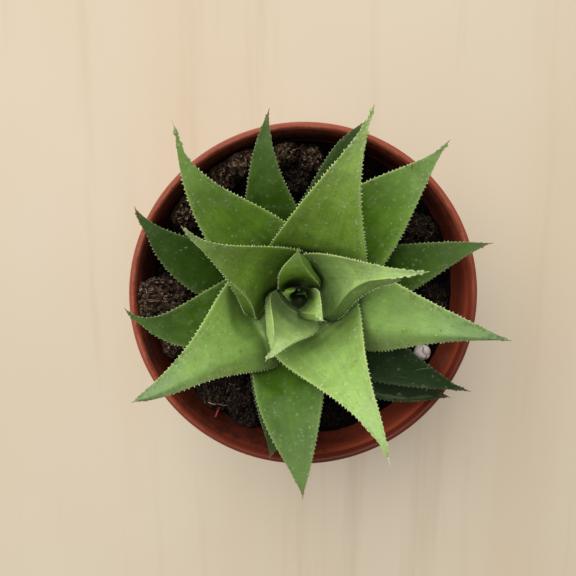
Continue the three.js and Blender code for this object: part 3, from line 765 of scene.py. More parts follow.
def on_sheet(sheet, ts, us, t, u, flipped):
    """A point of a face between its grid points, the way out of it and a way along it."""
    i = int(np.clip(np.searchsorted(ts, t) - 1, 0, len(ts) - 2))
    j = int(np.clip(np.searchsorted(us, u) - 1, 0, len(us) - 2))
    at = between_corners(sheet, i, j, (t - ts[i]) / (ts[i + 1] - ts[i]),
                         (u - us[j]) / (us[j + 1] - us[j]))
    patch = sheet[i:i + 2, j:j + 2]
    along = unit(patch[1].sum(0) - patch[0].sum(0))
    way = unit(np.cross(patch[:, 1].sum(0) - patch[:, 0].sum(0), along))
    return at, -way if flipped else way, along


# Materials


class Graph:
    """A short way to write shader nodes."""

    def __init__(self, tree):
        self.tree = tree

    def feed(self, socket, value):
        if hasattr(value, "links"):
            self.tree.links.new(value, socket)
        else:
            socket.default_value = value

    def node(self, kind, inputs=(), **settings):
        """Adds a node; inputs are numbers, colours or other nodes' outputs by name or number."""
        made = self.tree.nodes.new(kind)
        for key, value in settings.items():
            setattr(made, key, value)
        for key, value in dict(inputs).items():
            self.feed(made.inputs[key], value)
        return made


class Nodes(Graph):
    """A material whose colour is built up in layers."""

    def __init__(self, name, *colour):
        self.colour = srgb(*colour)
        self.material = bpy.data.materials.new(name)
        self.material.use_nodes = True
        super().__init__(self.material.node_tree)
        self.shader = self.tree.nodes["Principled BSDF"]
        self.place = self.node("ShaderNodeTexCoord").outputs["Object"]

    def math(self, operation, a, b, clamp=False):
        made = self.node("ShaderNodeMath", {0: a, 1: b}, operation=operation, use_clamp=clamp)
        return made.outputs[0]

    def ramp(self, value, low, high, to_low=0, to_high=1):
        inputs = {"Value": value, "From Min": low, "From Max": high, "To Min": to_low,
                  "To Max": to_high}
        made = self.node("ShaderNodeMapRange", inputs, interpolation_type="SMOOTHSTEP")
        return made.outputs["Result"]

    def noise(self, scale, detail=3, roughness=0.55, place=None, distortion=0):
        """Noise of one scale, or of three where its features are stretched."""
        place = place or self.place
        if isinstance(scale, tuple):
            place = self.node("ShaderNodeMapping", {"Vector": place, "Scale": scale}).outputs[0]
            scale = 1
        inputs = {"Vector": place, "Scale": scale, "Detail": detail, "Roughness": roughness,
                  "Distortion": distortion}
        return self.node("ShaderNodeTexNoise", inputs).outputs["Fac"]

    def cells(self, scale):
        inputs = {"Vector": self.place, "Scale": scale}
        return self.node("ShaderNodeTexVoronoi", inputs).outputs["Distance"]

    def distance(self, spot):
        """How far a place is from a spot given in millimetres."""
        inputs = {0: self.place, 1: [value * MM for value in spot]}
        return self.node("ShaderNodeVectorMath", inputs, operation="DISTANCE").outputs["Value"]

    def attribute(self, name):
        """The four numbers of a painted layer."""
        made = self.node("ShaderNodeAttribute", attribute_name=name)
        split = self.node("ShaderNodeSeparateColor", {"Color": made.outputs["Color"]})
        return (*split.outputs[:3], made.outputs["Alpha"])

    def mix(self, share, a, b, blend="MIX"):
        made = self.node("ShaderNodeMix", data_type="RGBA", blend_type=blend)
        for key, value in ((0, share), (6, a), (7, b)):
            self.feed(made.inputs[key], value)
        return made.outputs[2]

    def lay(self, share, *colour):
        """Lays a colour, as 0 to 255 display values or one socket, over the skin's colour."""
        over = srgb(*colour) if len(colour) == 3 else colour[0]
        self.colour = self.mix(share, self.colour, over)

    def shade(self, value, low, high, darkest, lightest):
        """Darkens and lightens the skin's colour by a value's ramp."""
        self.colour = self.mix(1, self.colour, self.ramp(value, low, high, darkest, lightest),
                               "MULTIPLY")

    def product(self, first, *others, clamp=False):
        for other in others:
            first = self.math("MULTIPLY", first, other, clamp)
        return first

    def bump(self, height, distance, strength, base=None):
        inputs = {"Height": height, "Distance": distance, "Strength": strength}
        if base:
            inputs["Normal"] = base
        return self.node("ShaderNodeBump", inputs).outputs["Normal"]

    def set(self, **values):
        """Sets the shader's inputs and returns the finished material."""
        for key, value in {"Base_Color": self.colour, **values}.items():
            self.feed(self.shader.inputs[key.replace("_", " ")], value)
        return self.material


def srgb(red, green, blue):
    """A colour given as 0 to 255 display values."""
    def linear(value):
        value /= 255
        return value / 12.92 if value <= 0.04045 else ((value + 0.055) / 1.055) ** 2.4
    return (linear(red), linear(green), linear(blue), 1)


def leaf_material(name, gloss):
    """Waxy green skin: mottled, faintly streaked along, pale at margins, prickles and bumps;
    painted shade, sheen and light.
    """
    n = Nodes(name, 17, 38, 6)
    pale, edge, dryness, contact_shade = n.attribute("paint")
    across, along, tone, bloom = n.attribute("place")
    # The green follows tone: the leaf's age, with painted shade and painted light folded into it.
    n.lay(n.ramp(tone, 0, 0.6), 86, 124, 33)
    n.lay(n.ramp(tone, 0.45, 1), 142, 177, 68)
    n.lay(n.ramp(tone, 1, 1.3), 176, 206, 122)
    join = n.node("ShaderNodeCombineXYZ", {0: across, 1: along, 2: tone})
    n.shade(n.noise((26, 1.8, 40), 3, 0.6, join.outputs[0]), 0.3, 0.7, 0.9, 1.1)
    n.shade(n.noise(200, 4, 0.62), 0.36, 0.68, 0.9, 1.14)
    n.shade(n.noise(75), 0.36, 0.66, 0.92, 1.08)
    n.shade(n.noise(950, 3, 0.65), 0.4, 0.7, 0.95, 1.1)
    # Pale wax, more toward the tips, and a painted sheen on the lighter, lit leaves.
    wax_and_sheen = n.ramp(n.noise(260, 4, 0.65), 0.46, 0.72, 0, 0.12)
    wax_and_sheen = n.math("ADD", wax_and_sheen, n.ramp(along, 0.45, 1, 0, 0.26))
    n.lay(n.product(wax_and_sheen, n.ramp(tone, 0, 0.7, 0.05, 1)), 178, 200, 148)
    n.lay(n.product(bloom, 0.26), 156, 184, 138)
    n.lay(n.product(n.ramp(n.cells(520), 0.06, 0.32, 1, 0),
                    n.ramp(n.noise(170, 2, 0.6), 0.46, 0.62),
                    n.ramp(tone, 0, 0.7, 0.4, 1), 0.28), 186, 204, 148)
    # Pale margins, with the painted highlight along the ridge of a flank.
    rim = n.mix(n.ramp(tone, 0, 0.7), srgb(76, 100, 62), srgb(186, 212, 122))
    n.lay(n.product(edge, 0.5), rim)
    # Painted shade: each leaf darkens toward its foot, where the leaves above shade it.
    n.lay(n.ramp(along, 0, 0.45, 0.6, 0), 30, 54, 14)
    # Painted shade in the crevices where a younger leaf lies close above.
    n.lay(n.ramp(contact_shade, 0.06, 0.62, 0, 0.9), 10, 22, 3)
    # Painted shade deep in the rosette's heart, round the stem's top.
    heart = n.distance((STEM_PLACE[0] - 1, STEM_PLACE[1] + 1, STEM_TOP - 2))
    n.lay(n.ramp(heart, 2 * MM, 5.2 * MM, 0.92, 0), 12, 24, 4)
    n.lay(dryness, n.mix(n.noise(900, 2), srgb(84, 54, 40), srgb(150, 122, 90)))
    light = n.mix(n.ramp(tone, 0, 0.8), srgb(146, 168, 128), srgb(214, 228, 178))
    n.lay(n.ramp(pale, 0.05, 0.9, 0, 0.86), light)
    relief = n.bump(n.noise(380, 3, 0.5), 0.00022, 0.55)
    relief = n.bump(n.noise(1500, 3, 0.6), 0.00006, 0.5, relief)
    roughness = n.ramp(n.noise(300), 0.3, 0.75, 0.4, 0.56)
    return n.set(Roughness=roughness, Normal=relief, IOR=1.42, Subsurface_Weight=0.22,
                 Subsurface_Scale=0.0011, Subsurface_Radius=(0.7, 1, 0.25),
                 Specular_IOR_Level=gloss, Coat_Weight=0.1 * gloss, Coat_Roughness=0.5)


def pot_material():
    """Moulded terracotta-red plastic: faint flow marks, scuffs, peat dust inside; painted shade and
    a painted lip highlight.
    """
    n = Nodes("pot_plastic", 139, 59, 37)
    dirt_and_shade, scuff, edge, lip_shade = n.attribute("paint")
    n.lay(n.ramp(n.noise((60, 60, 300), 3, 0.6), 0.35, 0.7), 147, 65, 43)
    n.lay(n.ramp(n.noise(45), 0.45, 0.75, 0, 0.22), 124, 47, 30)
    scratches = n.ramp(n.noise((700, 700, 2600), 5, 0.75), 0.57, 0.75)
    # Here only real wear: fine pale scratches, most of them on the lip.
    wear_and_highlight = n.product(scuff, scratches, clamp=True)
    n.lay(n.math("ADD", n.product(wear_and_highlight, 0.5), n.product(scuff, 0.09)), 206, 140, 116)
    # Painted highlight: a broken pale line along the lip's inner edge.
    n.lay(n.product(edge, n.ramp(n.noise(160, 5, 0.75), 0.42, 0.6), 0.75), 206, 132, 108)
    speckle = n.product(n.ramp(n.cells(900), 0.02, 0.16, 1, 0),
                        n.ramp(n.noise(140), 0.48, 0.7))
    speckle = n.product(speckle, n.math("ADD", dirt_and_shade, 0.08), clamp=True)
    smears = n.product(dirt_and_shade, n.ramp(n.noise(260, 5, 0.7), 0.42, 0.66), clamp=True)
    dirt = n.math("MAXIMUM", n.product(smears, 0.75), speckle)
    # Peat dirt and painted shade: darker deep inside and on the side away from the light.
    n.lay(n.product(dirt_and_shade, 0.7), 52, 18, 10)
    n.lay(dirt, 28, 18, 14)
    # Painted shade on one side of the lip.
    n.lay(n.product(lip_shade, 0.9), 84, 30, 16)
    roughness = n.math("ADD", n.ramp(n.noise(420, 4), 0.3, 0.7, 0.36, 0.5),
                       n.product(dirt, 0.35), clamp=True)
    relief = n.bump(n.noise(150), 0.00018, 0.3)
    relief = n.bump(n.noise(1300, 4, 0.6), 0.00005, 0.35, relief)
    relief = n.bump(wear_and_highlight, 0.00005, 0.4, relief)
    return n.set(Roughness=roughness, Normal=relief, IOR=1.48, Specular_IOR_Level=0.28,
                 Subsurface_Weight=0.05, Subsurface_Scale=0.0015,
                 Subsurface_Radius=(1, 0.35, 0.2))


def peat_material(name, lightness):
    """Dark crumbly peat; paint's first number lightens dry, brushed-up places and paints light on
    the high clods.
    """
    n = Nodes(name, 4, 3, 3)
    lit = n.attribute("paint")[0]
    grain = n.noise(900, 6, 0.72)
    n.lay(n.ramp(grain, 0.35, 0.7), 20, 15, 12)
    n.lay(n.ramp(n.noise(190, 4, 0.6), 0.42, 0.7, 0, 0.6), 6, 5, 4)
    dry = n.product(lit, n.ramp(grain, 0.35, 0.62, 0.35, 1), clamp=True)
    n.lay(n.product(dry, lightness), 152, 122, 97)
    relief = n.bump(grain, 0.0005, 0.9)
    relief = n.bump(n.noise(2600, 4, 0.7), 0.00015, 0.8, relief)
    return n.set(Roughness=0.95, Normal=relief, Specular_IOR_Level=0.06)


def fibre_material():
    """Fine roots and peat fibres, from dark brown to straw."""
    n = Nodes("peat_fibres", 20, 14, 11)
    tint, rosy = n.attribute("paint")[:2]
    grain = n.noise(3000, 3, 0.6)
    n.lay(tint, 190, 157, 126)
    n.lay(rosy, 150, 60, 66)
    n.shade(grain, 0.35, 0.7, 0.65, 1.2)
    return n.set(Roughness=0.8, Normal=n.bump(grain, 0.00005, 0.5), Specular_IOR_Level=0.25)


def perlite_material():
    """A dull white puffed grain with pinkish hollows, darker along its crack."""
    n = Nodes("perlite", 232, 218, 210)
    crack = n.attribute("paint")[0]
    puffs = n.cells(1500)
    n.lay(n.ramp(puffs, 0.1, 0.6), 250, 242, 236)
    n.lay(n.ramp(n.noise(700, 4), 0.5, 0.75, 0, 0.7), 204, 158, 150)
    n.lay(crack, 74, 48, 42)
    relief = n.bump(puffs, 0.00015, 0.6)
    relief = n.bump(n.noise(2400, 4), 0.00008, 0.6, relief)
    return n.set(Roughness=0.9, Normal=relief, Specular_IOR_Level=0.3,
                 Subsurface_Weight=0.1, Subsurface_Scale=0.0006)


def stem_material():
    """Short fleshy stem, green above and corky below, ringed by old leaf scars."""
    n = Nodes("stem_skin", 92, 112, 58)
    cork = n.attribute("paint")[0]
    n.lay(n.ramp(n.noise(300, 4), 0.35, 0.7), 128, 140, 82)
    bark = n.mix(n.ramp(n.noise(700, 5, 0.7), 0.35, 0.7), srgb(74, 52, 36), srgb(128, 98, 70))
    n.lay(cork, bark)
    # Painted shade: the stem's top darkens in the rosette's heart.
    n.lay(n.ramp(n.distance((*STEM_PLACE, STEM_TOP)), 4 * MM, 8 * MM, 0.95, 0), 10, 20, 4)
    return n.set(Roughness=0.7, Normal=n.bump(n.noise(900, 5, 0.7), 0.0003, 0.8))


# Pot


def rounded(outline, radius, steps=4):
    """An outline whose corners are rounded, as [radius, height] rows."""
    rows = [outline[0]]
    for before, corner, after in zip(outline, outline[1:], outline[2:]):
        before, corner, after = (np.array(p, float) for p in (before, corner, after))
        near = min(np.linalg.norm(before - corner), np.linalg.norm(after - corner))
        cut = min(radius, 0.42 * near)
        a = corner + unit(before - corner) * cut
        b = corner + unit(after - corner) * cut
        for k in range(steps + 1):
            s = k / steps
            rows.append((1 - s) ** 2 * a + 2 * s * (1 - s) * corner + s * s * b)
    rows.append(outline[-1])
    return np.array(rows, float)


def body_radius(height):
    """The outer radius of the pot's tapered body."""
    share = height / COLLAR_FOOT
    return BODY_FOOT_RADIUS + (BODY_TOP_RADIUS - BODY_FOOT_RADIUS) * share


def lathe(rows, sides):
    """Points and faces of [radius, height] rows that start and end on Z, turned round it."""
    rings = [level_circle(radius, height, sides) for radius, height in rows[1:-1]]
    return tube(rings, (0, 0, rows[0][1]), (0, 0, rows[-1][1]))


def pot_outline():
    """The pot's section as (radius, height), from the middle of its foot to the floor inside."""
    floor_top = FOOT_RISE + FLOOR_THICKNESS
    return [
        (0, 0),
        (HUB_RADIUS, 0),
        (HUB_RADIUS + 0.6, FOOT_RISE),
        (RING_RADIUS, FOOT_RISE),
        (RING_RADIUS + 0.6, 0),
        (BODY_FOOT_RADIUS - 0.8, 0),
        (body_radius(1), 1),
        (body_radius(30), 30),
        (body_radius(COLLAR_FOOT - 1.6), COLLAR_FOOT - 1.6),
        (COLLAR_OUTSIDE - 0.6, COLLAR_FOOT),
        (COLLAR_OUTSIDE, POT_HEIGHT - LIP_HEIGHT),
        (RIM_RADIUS - 0.3, POT_HEIGHT - LIP_HEIGHT),
        (RIM_RADIUS, POT_HEIGHT - LIP_HEIGHT + 0.4),
        (RIM_RADIUS, POT_HEIGHT - 0.25),
        (RIM_RADIUS - 0.25, POT_HEIGHT),
    ] + [(radius, height) for height, radius in reversed(INNER_WALL)] + [
        (body_radius(COLLAR_FOOT - 1) - WALL, LEDGE),
        (body_radius(30) - WALL, 30),
        (body_radius(floor_top) - WALL, floor_top),
        (0, floor_top),
    ]


def pot_paint(points):
    """Rows of peat dirt with painted shade, scuffs, a painted highlight on the lip's inner edge,
    and painted shade on one side of the lip.
    """
    x, y, height = points.T
    reach, turn = np.hypot(x, y), np.arctan2(y, x)
    limit = np.where(height > POT_HEIGHT - LIP_HEIGHT, LIP_INSIDE + 0.2, COLLAR_INSIDE + 0.9)
    inside = (reach < limit) & (height > LEDGE - 0.5) & (reach > COLLAR_INSIDE - 3.8)
    # Painted shade inside the pot: darker away from the lit side and deeper down, where peat dirt
    # also gathers.
    side_shade = 0.9 - 0.85 * smoothstep(np.cos(turn - LIT_WALL_SIDE), 0.35, 0.95)
    deep = smoothstep(-height, -POT_HEIGHT + 0.1, -LEDGE - 8) * (0.1 + side_shade * 0.9)
    shallow = side_shade * (reach < LIP_INSIDE + 0.15) * (height < POT_HEIGHT - 0.05)
    dirt_and_shade = np.where(inside, np.maximum(deep, shallow), 0)
    dirt_and_shade = np.where((height < FOOT_RISE + 0.2) & (reach < BODY_FOOT_RADIUS + 1), 0.4, dirt_and_shade)
    lip = (height > POT_HEIGHT - 1.4) & (reach > LIP_INSIDE - 1)
    scuff = np.where(lip, 1.0, 0.25)
    # Painted highlight: a pale line along the lip's inner edge.
    inner_edge = np.abs(reach - LIP_INSIDE - 0.7) < 0.25
    wear_and_highlight = np.where((height > POT_HEIGHT - 0.35) & inner_edge, 0.6, 0.0)
    # Painted shade on the side of the lip that the leaves shade; it also tones down scuffs and the
    # painted highlight there.
    lip_shade = smoothstep(np.cos(turn - SHADED_LIP_SIDE), -0.2, 1) * lip
    return np.stack([dirt_and_shade, scuff * (1 - lip_shade), wear_and_highlight * (1 - lip_shade), lip_shade], axis=1)


def drain_cutter(material):
    """Upright rods through the floor, where its drain holes are."""
    skin = Skin()
    for i in range(DRAIN_HOLES):
        angle = 2 * math.pi * (i + 0.5) / DRAIN_HOLES
        x, y = DRAIN_CIRCLE * math.cos(angle), DRAIN_CIRCLE * math.sin(angle)
        skin.add(*tube([level_circle(DRAIN_RADIUS, height, 40, x, y) for height in (-3, 7)]))
    return skin.build("cutter", material)


def make_pot():
    points, faces = lathe(rounded(pot_outline(), 0.55), POT_SIDES)
    piece = Skin().add(points, faces, pot_paint(points)).build("pot_shell", pot_material())
    cutter = drain_cutter(piece.data.materials[0])
    holes = piece.modifiers.new("holes", "BOOLEAN")
    holes.operation, holes.solver, holes.object = "DIFFERENCE", "EXACT", cutter
    bake(piece)
    bpy.data.objects.remove(cutter)
    piece.data.set_sharp_from_angle(angle=math.radians(38))
    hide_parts("pot")
    return piece


def bake(piece):
    """Makes a piece's modifiers part of its mesh."""
    graph = bpy.context.evaluated_depsgraph_get()
    mesh = bpy.data.meshes.new_from_object(piece.evaluated_get(graph))
    piece.modifiers.clear()
    piece.data = mesh


# Soil


def seeded(seed):
    """The same random numbers as in the solids' source."""
    state = seed
    while True:
        state = (state * 1664525 + 1013904223) % 4294967296
        yield state / 4294967296


def soil_lumps():
    """The clods and the many low lumps between them, which the solid has too."""
    draw = seeded(7)
    lumps = list(CLODS)
    for _ in range(LOW_LUMPS):
        angle = 2 * math.pi * next(draw)
        reach = 39 * math.sqrt(next(draw))
        lumps.append((reach * math.cos(angle), reach * math.sin(angle),
                      2.6 + 1.6 * next(draw), 0.7 + 1.3 * next(draw)))
    return lumps


LUMPS = soil_lumps()


def soil_height(x, y):
    """Height of the soil's surface, within a crumb or two of the solid's."""
    from_stem = np.hypot(x - STEM_PLACE[0], y - STEM_PLACE[1])
    hollow = SOIL_HOLLOW * np.exp(-((from_stem / 16) ** 2))
    bank = SOIL_BANK * smoothstep(np.hypot(x, y), 32, 41)
    wave = 0.35 * np.sin(0.55 * x + 1.3) * np.cos(0.47 * y) + 0.25 * np.sin(0.9 * y - 0.6 * x)
    raised = np.zeros_like(x)
    for cx, cy, radius, height in LUMPS:
        near = np.clip(1 - (np.hypot(x - cx, y - cy) / radius) ** 2, 0, 1)
        raised = np.maximum(raised, height * near ** 0.6)
    return SOIL_LEVEL - hollow + bank + wave + raised


def clod_share(x, y):
    """How much a place belongs to one of the high clods, which are dry and painted light, 0 to 1.
    """
    share = np.zeros_like(x)
    for cx, cy, radius, height in CLODS:
        near = np.clip(1.25 - np.hypot(x - cx, y - cy) / radius, 0, 1)
        share = np.maximum(share, near * min(1, height / DRY_LIT_CLOD_HEIGHT) ** 3)
    return np.clip(share * 1.6, 0, 1)


def crumbled_height(x, y, canopy):
    """The soil's height with crumbs and pits, kept under the leaves that lie on it."""
    flat = np.stack([np.ravel(x), np.ravel(y), np.zeros(np.size(x))], axis=1)
    rough = (0.6 * waves(flat, 3.4, 11, 3) + 0.45 * waves(flat, 1.3, 12, 3)).reshape(np.shape(x))
    height = soil_height(x, y) + 0.6 * rough * (0.7 + 0.9 * clod_share(x, y))
    points = np.stack([x, y, height], axis=-1)
    return np.minimum(height, canopy.at(points) - 0.35)


class Ground:
    CELL = 0.2
    REACH = 43

    def __init__(self, canopy):
        line = np.arange(-self.REACH, self.REACH + self.CELL, self.CELL)
        x, y = np.meshgrid(line, line, indexing="ij")
        self.height = crumbled_height(x, y, canopy)
        self.canopy = canopy

    def at(self, x, y):
        i = (np.asarray(x) + self.REACH) / self.CELL
        j = (np.asarray(y) + self.REACH) / self.CELL
        i0 = np.clip(i.astype(int), 0, len(self.height) - 2)
        j0 = np.clip(j.astype(int), 0, len(self.height) - 2)
        return between_corners(self.height, i0, j0, i - i0, j - j0)


def soil_rings(canopy):
    """Rings of the soil from its bottom up the pot's inside and in over its surface."""
    outer = COLLAR_INSIDE - GAP - 0.1
    shelf = LEDGE + GAP
    bottom = FOOT_RISE + FLOOR_THICKNESS + GAP
    neck = COLLAR_FOOT - 1.6
    room = WALL + GAP + 0.2
    rings = [level_circle(radius, height, SOIL_SIDES)
             for radius, height in ((body_radius(bottom) - room, bottom),
                                    (body_radius(neck) - room, neck),
                                    (body_radius(neck) - room, shelf), (outer, shelf))]
    for k in range(SOIL_RINGS):
        ring = level_circle(outer * (1 - (k / SOIL_RINGS) ** 1.1), 0, SOIL_SIDES)
        ring[:, 2] = crumbled_height(ring[:, 0], ring[:, 1], canopy)
        if k == 0:
            ring[:, 2] = np.maximum(ring[:, 2], shelf + 0.5)
        rings.append(ring)
    return rings


def make_soil(canopy):
    rings = soil_rings(canopy)
    points, faces = tube(rings, (0, 0, rings[0][0, 2]), (0, 0, rings[-1][:, 2].mean()))
    # The high clods are lighter: drier peat, and painted light where they stand up into the light.
    lit = clod_share(points[:, 0], points[:, 1])
    lit *= smoothstep(points[:, 2], SOIL_LEVEL + 0.5, SOIL_LEVEL + 5)
    skin = Skin().add(points, faces, lit_paint(lit))
    piece = skin.build("soil_body", peat_material("peat", 0.3))
    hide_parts("soil")
    return piece


ICO = (1 + math.sqrt(5)) / 2
ICO_POINTS = np.array([(-1, ICO, 0), (1, ICO, 0), (-1, -ICO, 0), (1, -ICO, 0), (0, -1, ICO),
                       (0, 1, ICO), (0, -1, -ICO), (0, 1, -ICO), (ICO, 0, -1), (ICO, 0, 1),
                       (-ICO, 0, -1), (-ICO, 0, 1)], float)
ICO_FACES = [(0, 11, 5), (0, 5, 1), (0, 1, 7), (0, 7, 10), (0, 10, 11), (1, 5, 9), (5, 11, 4),
             (11, 10, 2), (10, 7, 6), (7, 1, 8), (3, 9, 4), (3, 4, 2), (3, 2, 6), (3, 6, 8),
             (3, 8, 9), (4, 9, 5), (2, 4, 11), (6, 2, 10), (8, 6, 7), (9, 8, 1)]


def ball(level):
    """Points and faces of a unit ball with even triangles."""
    points = [unit(point) for point in ICO_POINTS]
    faces = list(ICO_FACES)
    for _ in range(level):
        halves, finer = {}, []

        def half(a, b):
            key = (min(a, b), max(a, b))
            if key not in halves:
                halves[key] = len(points)
                points.append(unit(points[a] + points[b]))
            return halves[key]

        for a, b, c in faces:
            ab, bc, ca = half(a, b), half(b, c), half(c, a)
            finer += [(a, ab, ca), (b, bc, ab), (c, ca, bc), (ab, bc, ca)]
        faces = finer
    return np.array(points), faces


def soil_spot(rng, ground, clods_only=False):
    """A random place on the soil that the pot and stem leave free."""
    while True:
        if clods_only:
            cx, cy, radius, _ = rng.choice(CLODS)
            angle, reach = rng.uniform(0, 2 * math.pi), radius * math.sqrt(rng.random()) * 1.05
            x, y = cx + reach * math.cos(angle), cy + reach * math.sin(angle)
        else:
            angle, reach = rng.uniform(0, 2 * math.pi), SPOT_REACH * math.sqrt(rng.random())
            x, y = reach * math.cos(angle), reach * math.sin(angle)
        from_stem = math.hypot(x - STEM_PLACE[0], y - STEM_PLACE[1])
        if math.hypot(x, y) <= SPOT_REACH and from_stem >= STEM_RADIUS + 1.8:
            return x, y, float(ground.at(x, y))


def block_surface(ways, lift, canopy):
    """Points of the loose block's surface in ways from its middle, kept inside the pot."""
    blocky = (np.abs(ways) ** 3.6).sum(1) ** (-1 / 3.6)
    size = blocky * (1 + 0.11 * waves(ways, 1.2, 41, 3) + 0.035 * waves(ways, 0.22, 43, 2))
    points = BLOCK_MIDDLE + ways * BLOCK_SIZE * size[:, None] + ways * np.reshape(lift, (-1, 1))
    heights, radii = zip(*INNER_WALL)
    room = np.interp(points[:, 2], heights, radii) - GAP
    points[:, :2] *= np.minimum(1, room / from_axis(points))[:, None]
    points[:, 2] = np.minimum(points[:, 2], canopy.at(points) - 0.3)
    return points


def block_path(rng):
    """A curled path over the loose block, as ways from its middle."""
    way = Vector((rng.gauss(0, 1), rng.gauss(0, 1), abs(rng.gauss(0, 1)))).normalized()
    heading = rng.uniform(0, 2 * math.pi)
    curl = rng.uniform(-1.5, 1.5)
    path = []
    for _ in range(rng.randint(4, 7)):
        path.append(way)
        aside = way.cross(Vector((0.3, 0.1, 1))).normalized()
        way = way + 0.05 * (math.cos(heading) * aside + math.sin(heading) * way.cross(aside))
        way = way.normalized()
        heading += curl + rng.gauss(0, 0.5)
    return np.array(path)


def crumb_shape(rng, noise_rng, ball_points, size):
    """Points of a lumpy crumb round the origin, turned at random."""
    lumpy = 1 + 0.3 * noise_rng.normal(size=(len(ball_points), 1)).clip(-1.4, 1.4)
    stretch = np.array([rng.uniform(0.8, 1.35), rng.uniform(0.8, 1.35), rng.uniform(0.6, 0.9)])
    angle = rng.uniform(0, 2 * math.pi)
    turn = np.array([[math.cos(angle), -math.sin(angle), 0],
                     [math.sin(angle), math.cos(angle), 0], [0, 0, 1]])
    return (ball_points * lumpy * stretch * size) @ turn.T


def fits(placed, limit, canopy):
    """Whether a crumb stays within a reach and under the leaves."""
    return from_axis(placed).max() <= limit and (placed[:, 2] <= canopy.at(placed) - 0.2).all()


def make_crumbs(ground, material):
    """The loose block and loose crumbs of peat on the soil."""
    rng = random.Random(5)
    noise_rng = np.random.default_rng(5)
    skin = Skin()
    ways, block_faces = ball(5)
    dryness = np.clip(0.2 + 0.25 * waves(ways, 0.5, 42, 3), 0, 1)
    skin.add(block_surface(ways, 0, ground.canopy), block_faces, lit_paint(dryness))
    small, middle = ball(1), ball(2)
    for way in noise_rng.normal(size=(BLOCK_CRUMBS, 3)):
        at = block_surface(unit(way)[None], 0, ground.canopy)
        placed = crumb_shape(rng, noise_rng, small[0], rng.uniform(0.2, 0.6)) + at
        if fits(placed, LIP_INSIDE, ground.canopy):
            skin.add(placed, small[1], lit_paint([0.7 * rng.random() ** 2] * len(placed)))
    for i in range(CRUMBS):
        big = i % 12 == 0
        x, y, z = soil_spot(rng, ground, clods_only=i % 3 == 0)
        points, faces = middle if big else small
        size = rng.uniform(0.5, 1.0) if big else rng.uniform(0.18, 0.45)
        placed = crumb_shape(rng, noise_rng, points, size) + [x, y, z + 0.25 * size]
        if fits(placed, CRUMB_REACH, ground.canopy):
            # Crumbs on the high clods are lighter: drier peat, and painted light.
            lit = rng.random() ** 2 * (0.03 + 0.97 * float(clod_share(x, y)))
            skin.add(placed, faces, lit_paint([lit] * len(placed)))
    return skin.build("soil_crumbs", material)


def strand(skin, path, radius, tint, sides=3, rosy=0):
    """A thin tapered strand along a path."""
    path = np.asarray(path, float)
    rings = []
    for i, (at, way) in enumerate(zip(path, np.gradient(path, axis=0))):
        way = unit(way)
        side = unit(np.cross(way, [0.3, 0.2, 1.0]))
        share = i / (len(path) - 1)
        thick = radius * (0.35 + 0.65 * math.sin(math.pi * (0.12 + 0.8 * share)))
        rings.append(circle(at, thick * side, thick * np.cross(way, side), sides))
    points, faces = tube(rings)
    skin.add(points, faces, [[tint, rosy, 0, 1]] * len(points))


def ground_path(rng, ground, clods_only):
    """A curled path over the soil, a little above it, and how much the place beyond its end belongs
    to the high clods, which are dry and painted light.
    """
    x, y, _ = soil_spot(rng, ground, clods_only)
    heading = rng.uniform(0, 2 * math.pi)
    curl = rng.uniform(-0.9, 0.9)
    steps = rng.randint(5, 8)
    stride = rng.uniform(0.15, 0.4)
    lift = rng.uniform(0.1, 1.2)
    path = []
    for k in range(steps):
        height = float(ground.at(x, y)) + lift * math.sin(math.pi * k / (steps - 1)) + 0.03
        path.append([x, y, height])
        heading += curl + rng.gauss(0, 0.5)
        x += stride * math.cos(heading)
        y += stride * math.sin(heading)
        if math.hypot(x, y) > FIBRE_REACH:
            break
    return np.array(path), float(clod_share(x, y))


def make_fibres(ground, material):
    """Curled fibres on the clods and a few longer rootlets on the soil."""
    rng = random.Random(9)
    skin = Skin()
    for i in range(FIBRES):
        path, dryness = ground_path(rng, ground, clods_only=i % 8 != 0)
        if len(path) < 3 or (path[:, 2] > ground.canopy.at(path) - 0.15).any():
            continue
        # Fibres on the high clods are paler: drier, and painted light.
        tint = rng.random() ** 2.2 * (0.02 + 1.1 * dryness)
        strand(skin, path, rng.uniform(0.06, 0.15), tint)
    for _ in range(BLOCK_FIBRES):
        ways = block_path(rng)
        lifts = rng.uniform(0, 0.5) * np.sin(math.pi * np.linspace(0, 1, len(ways)))
        path = block_surface(ways, lifts, ground.canopy)
        strand(skin, path, rng.uniform(0.04, 0.12), rng.random() ** 2.7)
    return skin.build("soil_fibres", material)


# What lies on the soil: places, height over it, radius, tint, rosiness and sides
TWIG = ([(-26.2, -30.2), (-25, -30.9), (-23.6, -31.3), (-22.2, -31.9), (-21, -32.1)],
        0.5, 0.2, 0.85, 0, 6)
SLIVER = ([(-23.2, -32.4), (-23.7, -33.1)], 0.4, 0.4, 0.35, 1, 6)
WHITE_FIBRES = (([(-3.4, 38), (-2.2, 38.6), (-1.3, 39.2), (-0.2, 39.4)], 0.6, 0.13, 0.9, 0, 5),
                ([(-4.2, 36.4), (-3.2, 37.2), (-2.8, 38.3)], 0.6, 0.1, 0.85, 0, 5))


def make_twigs(ground, material):
    """The pale twig, the pinkish sliver and the white fibres that lie on the soil."""
    skin = Skin()
    for places, lift, radius, tint, rosy, sides in (TWIG, SLIVER, *WHITE_FIBRES):
        path = [[x, y, float(ground.at(x, y)) + lift] for x, y in places]
        if rosy:
            path.append(SLIVER_TIP)
        strand(skin, path, radius, tint, sides, rosy)
    return skin.build("soil_twigs", material)


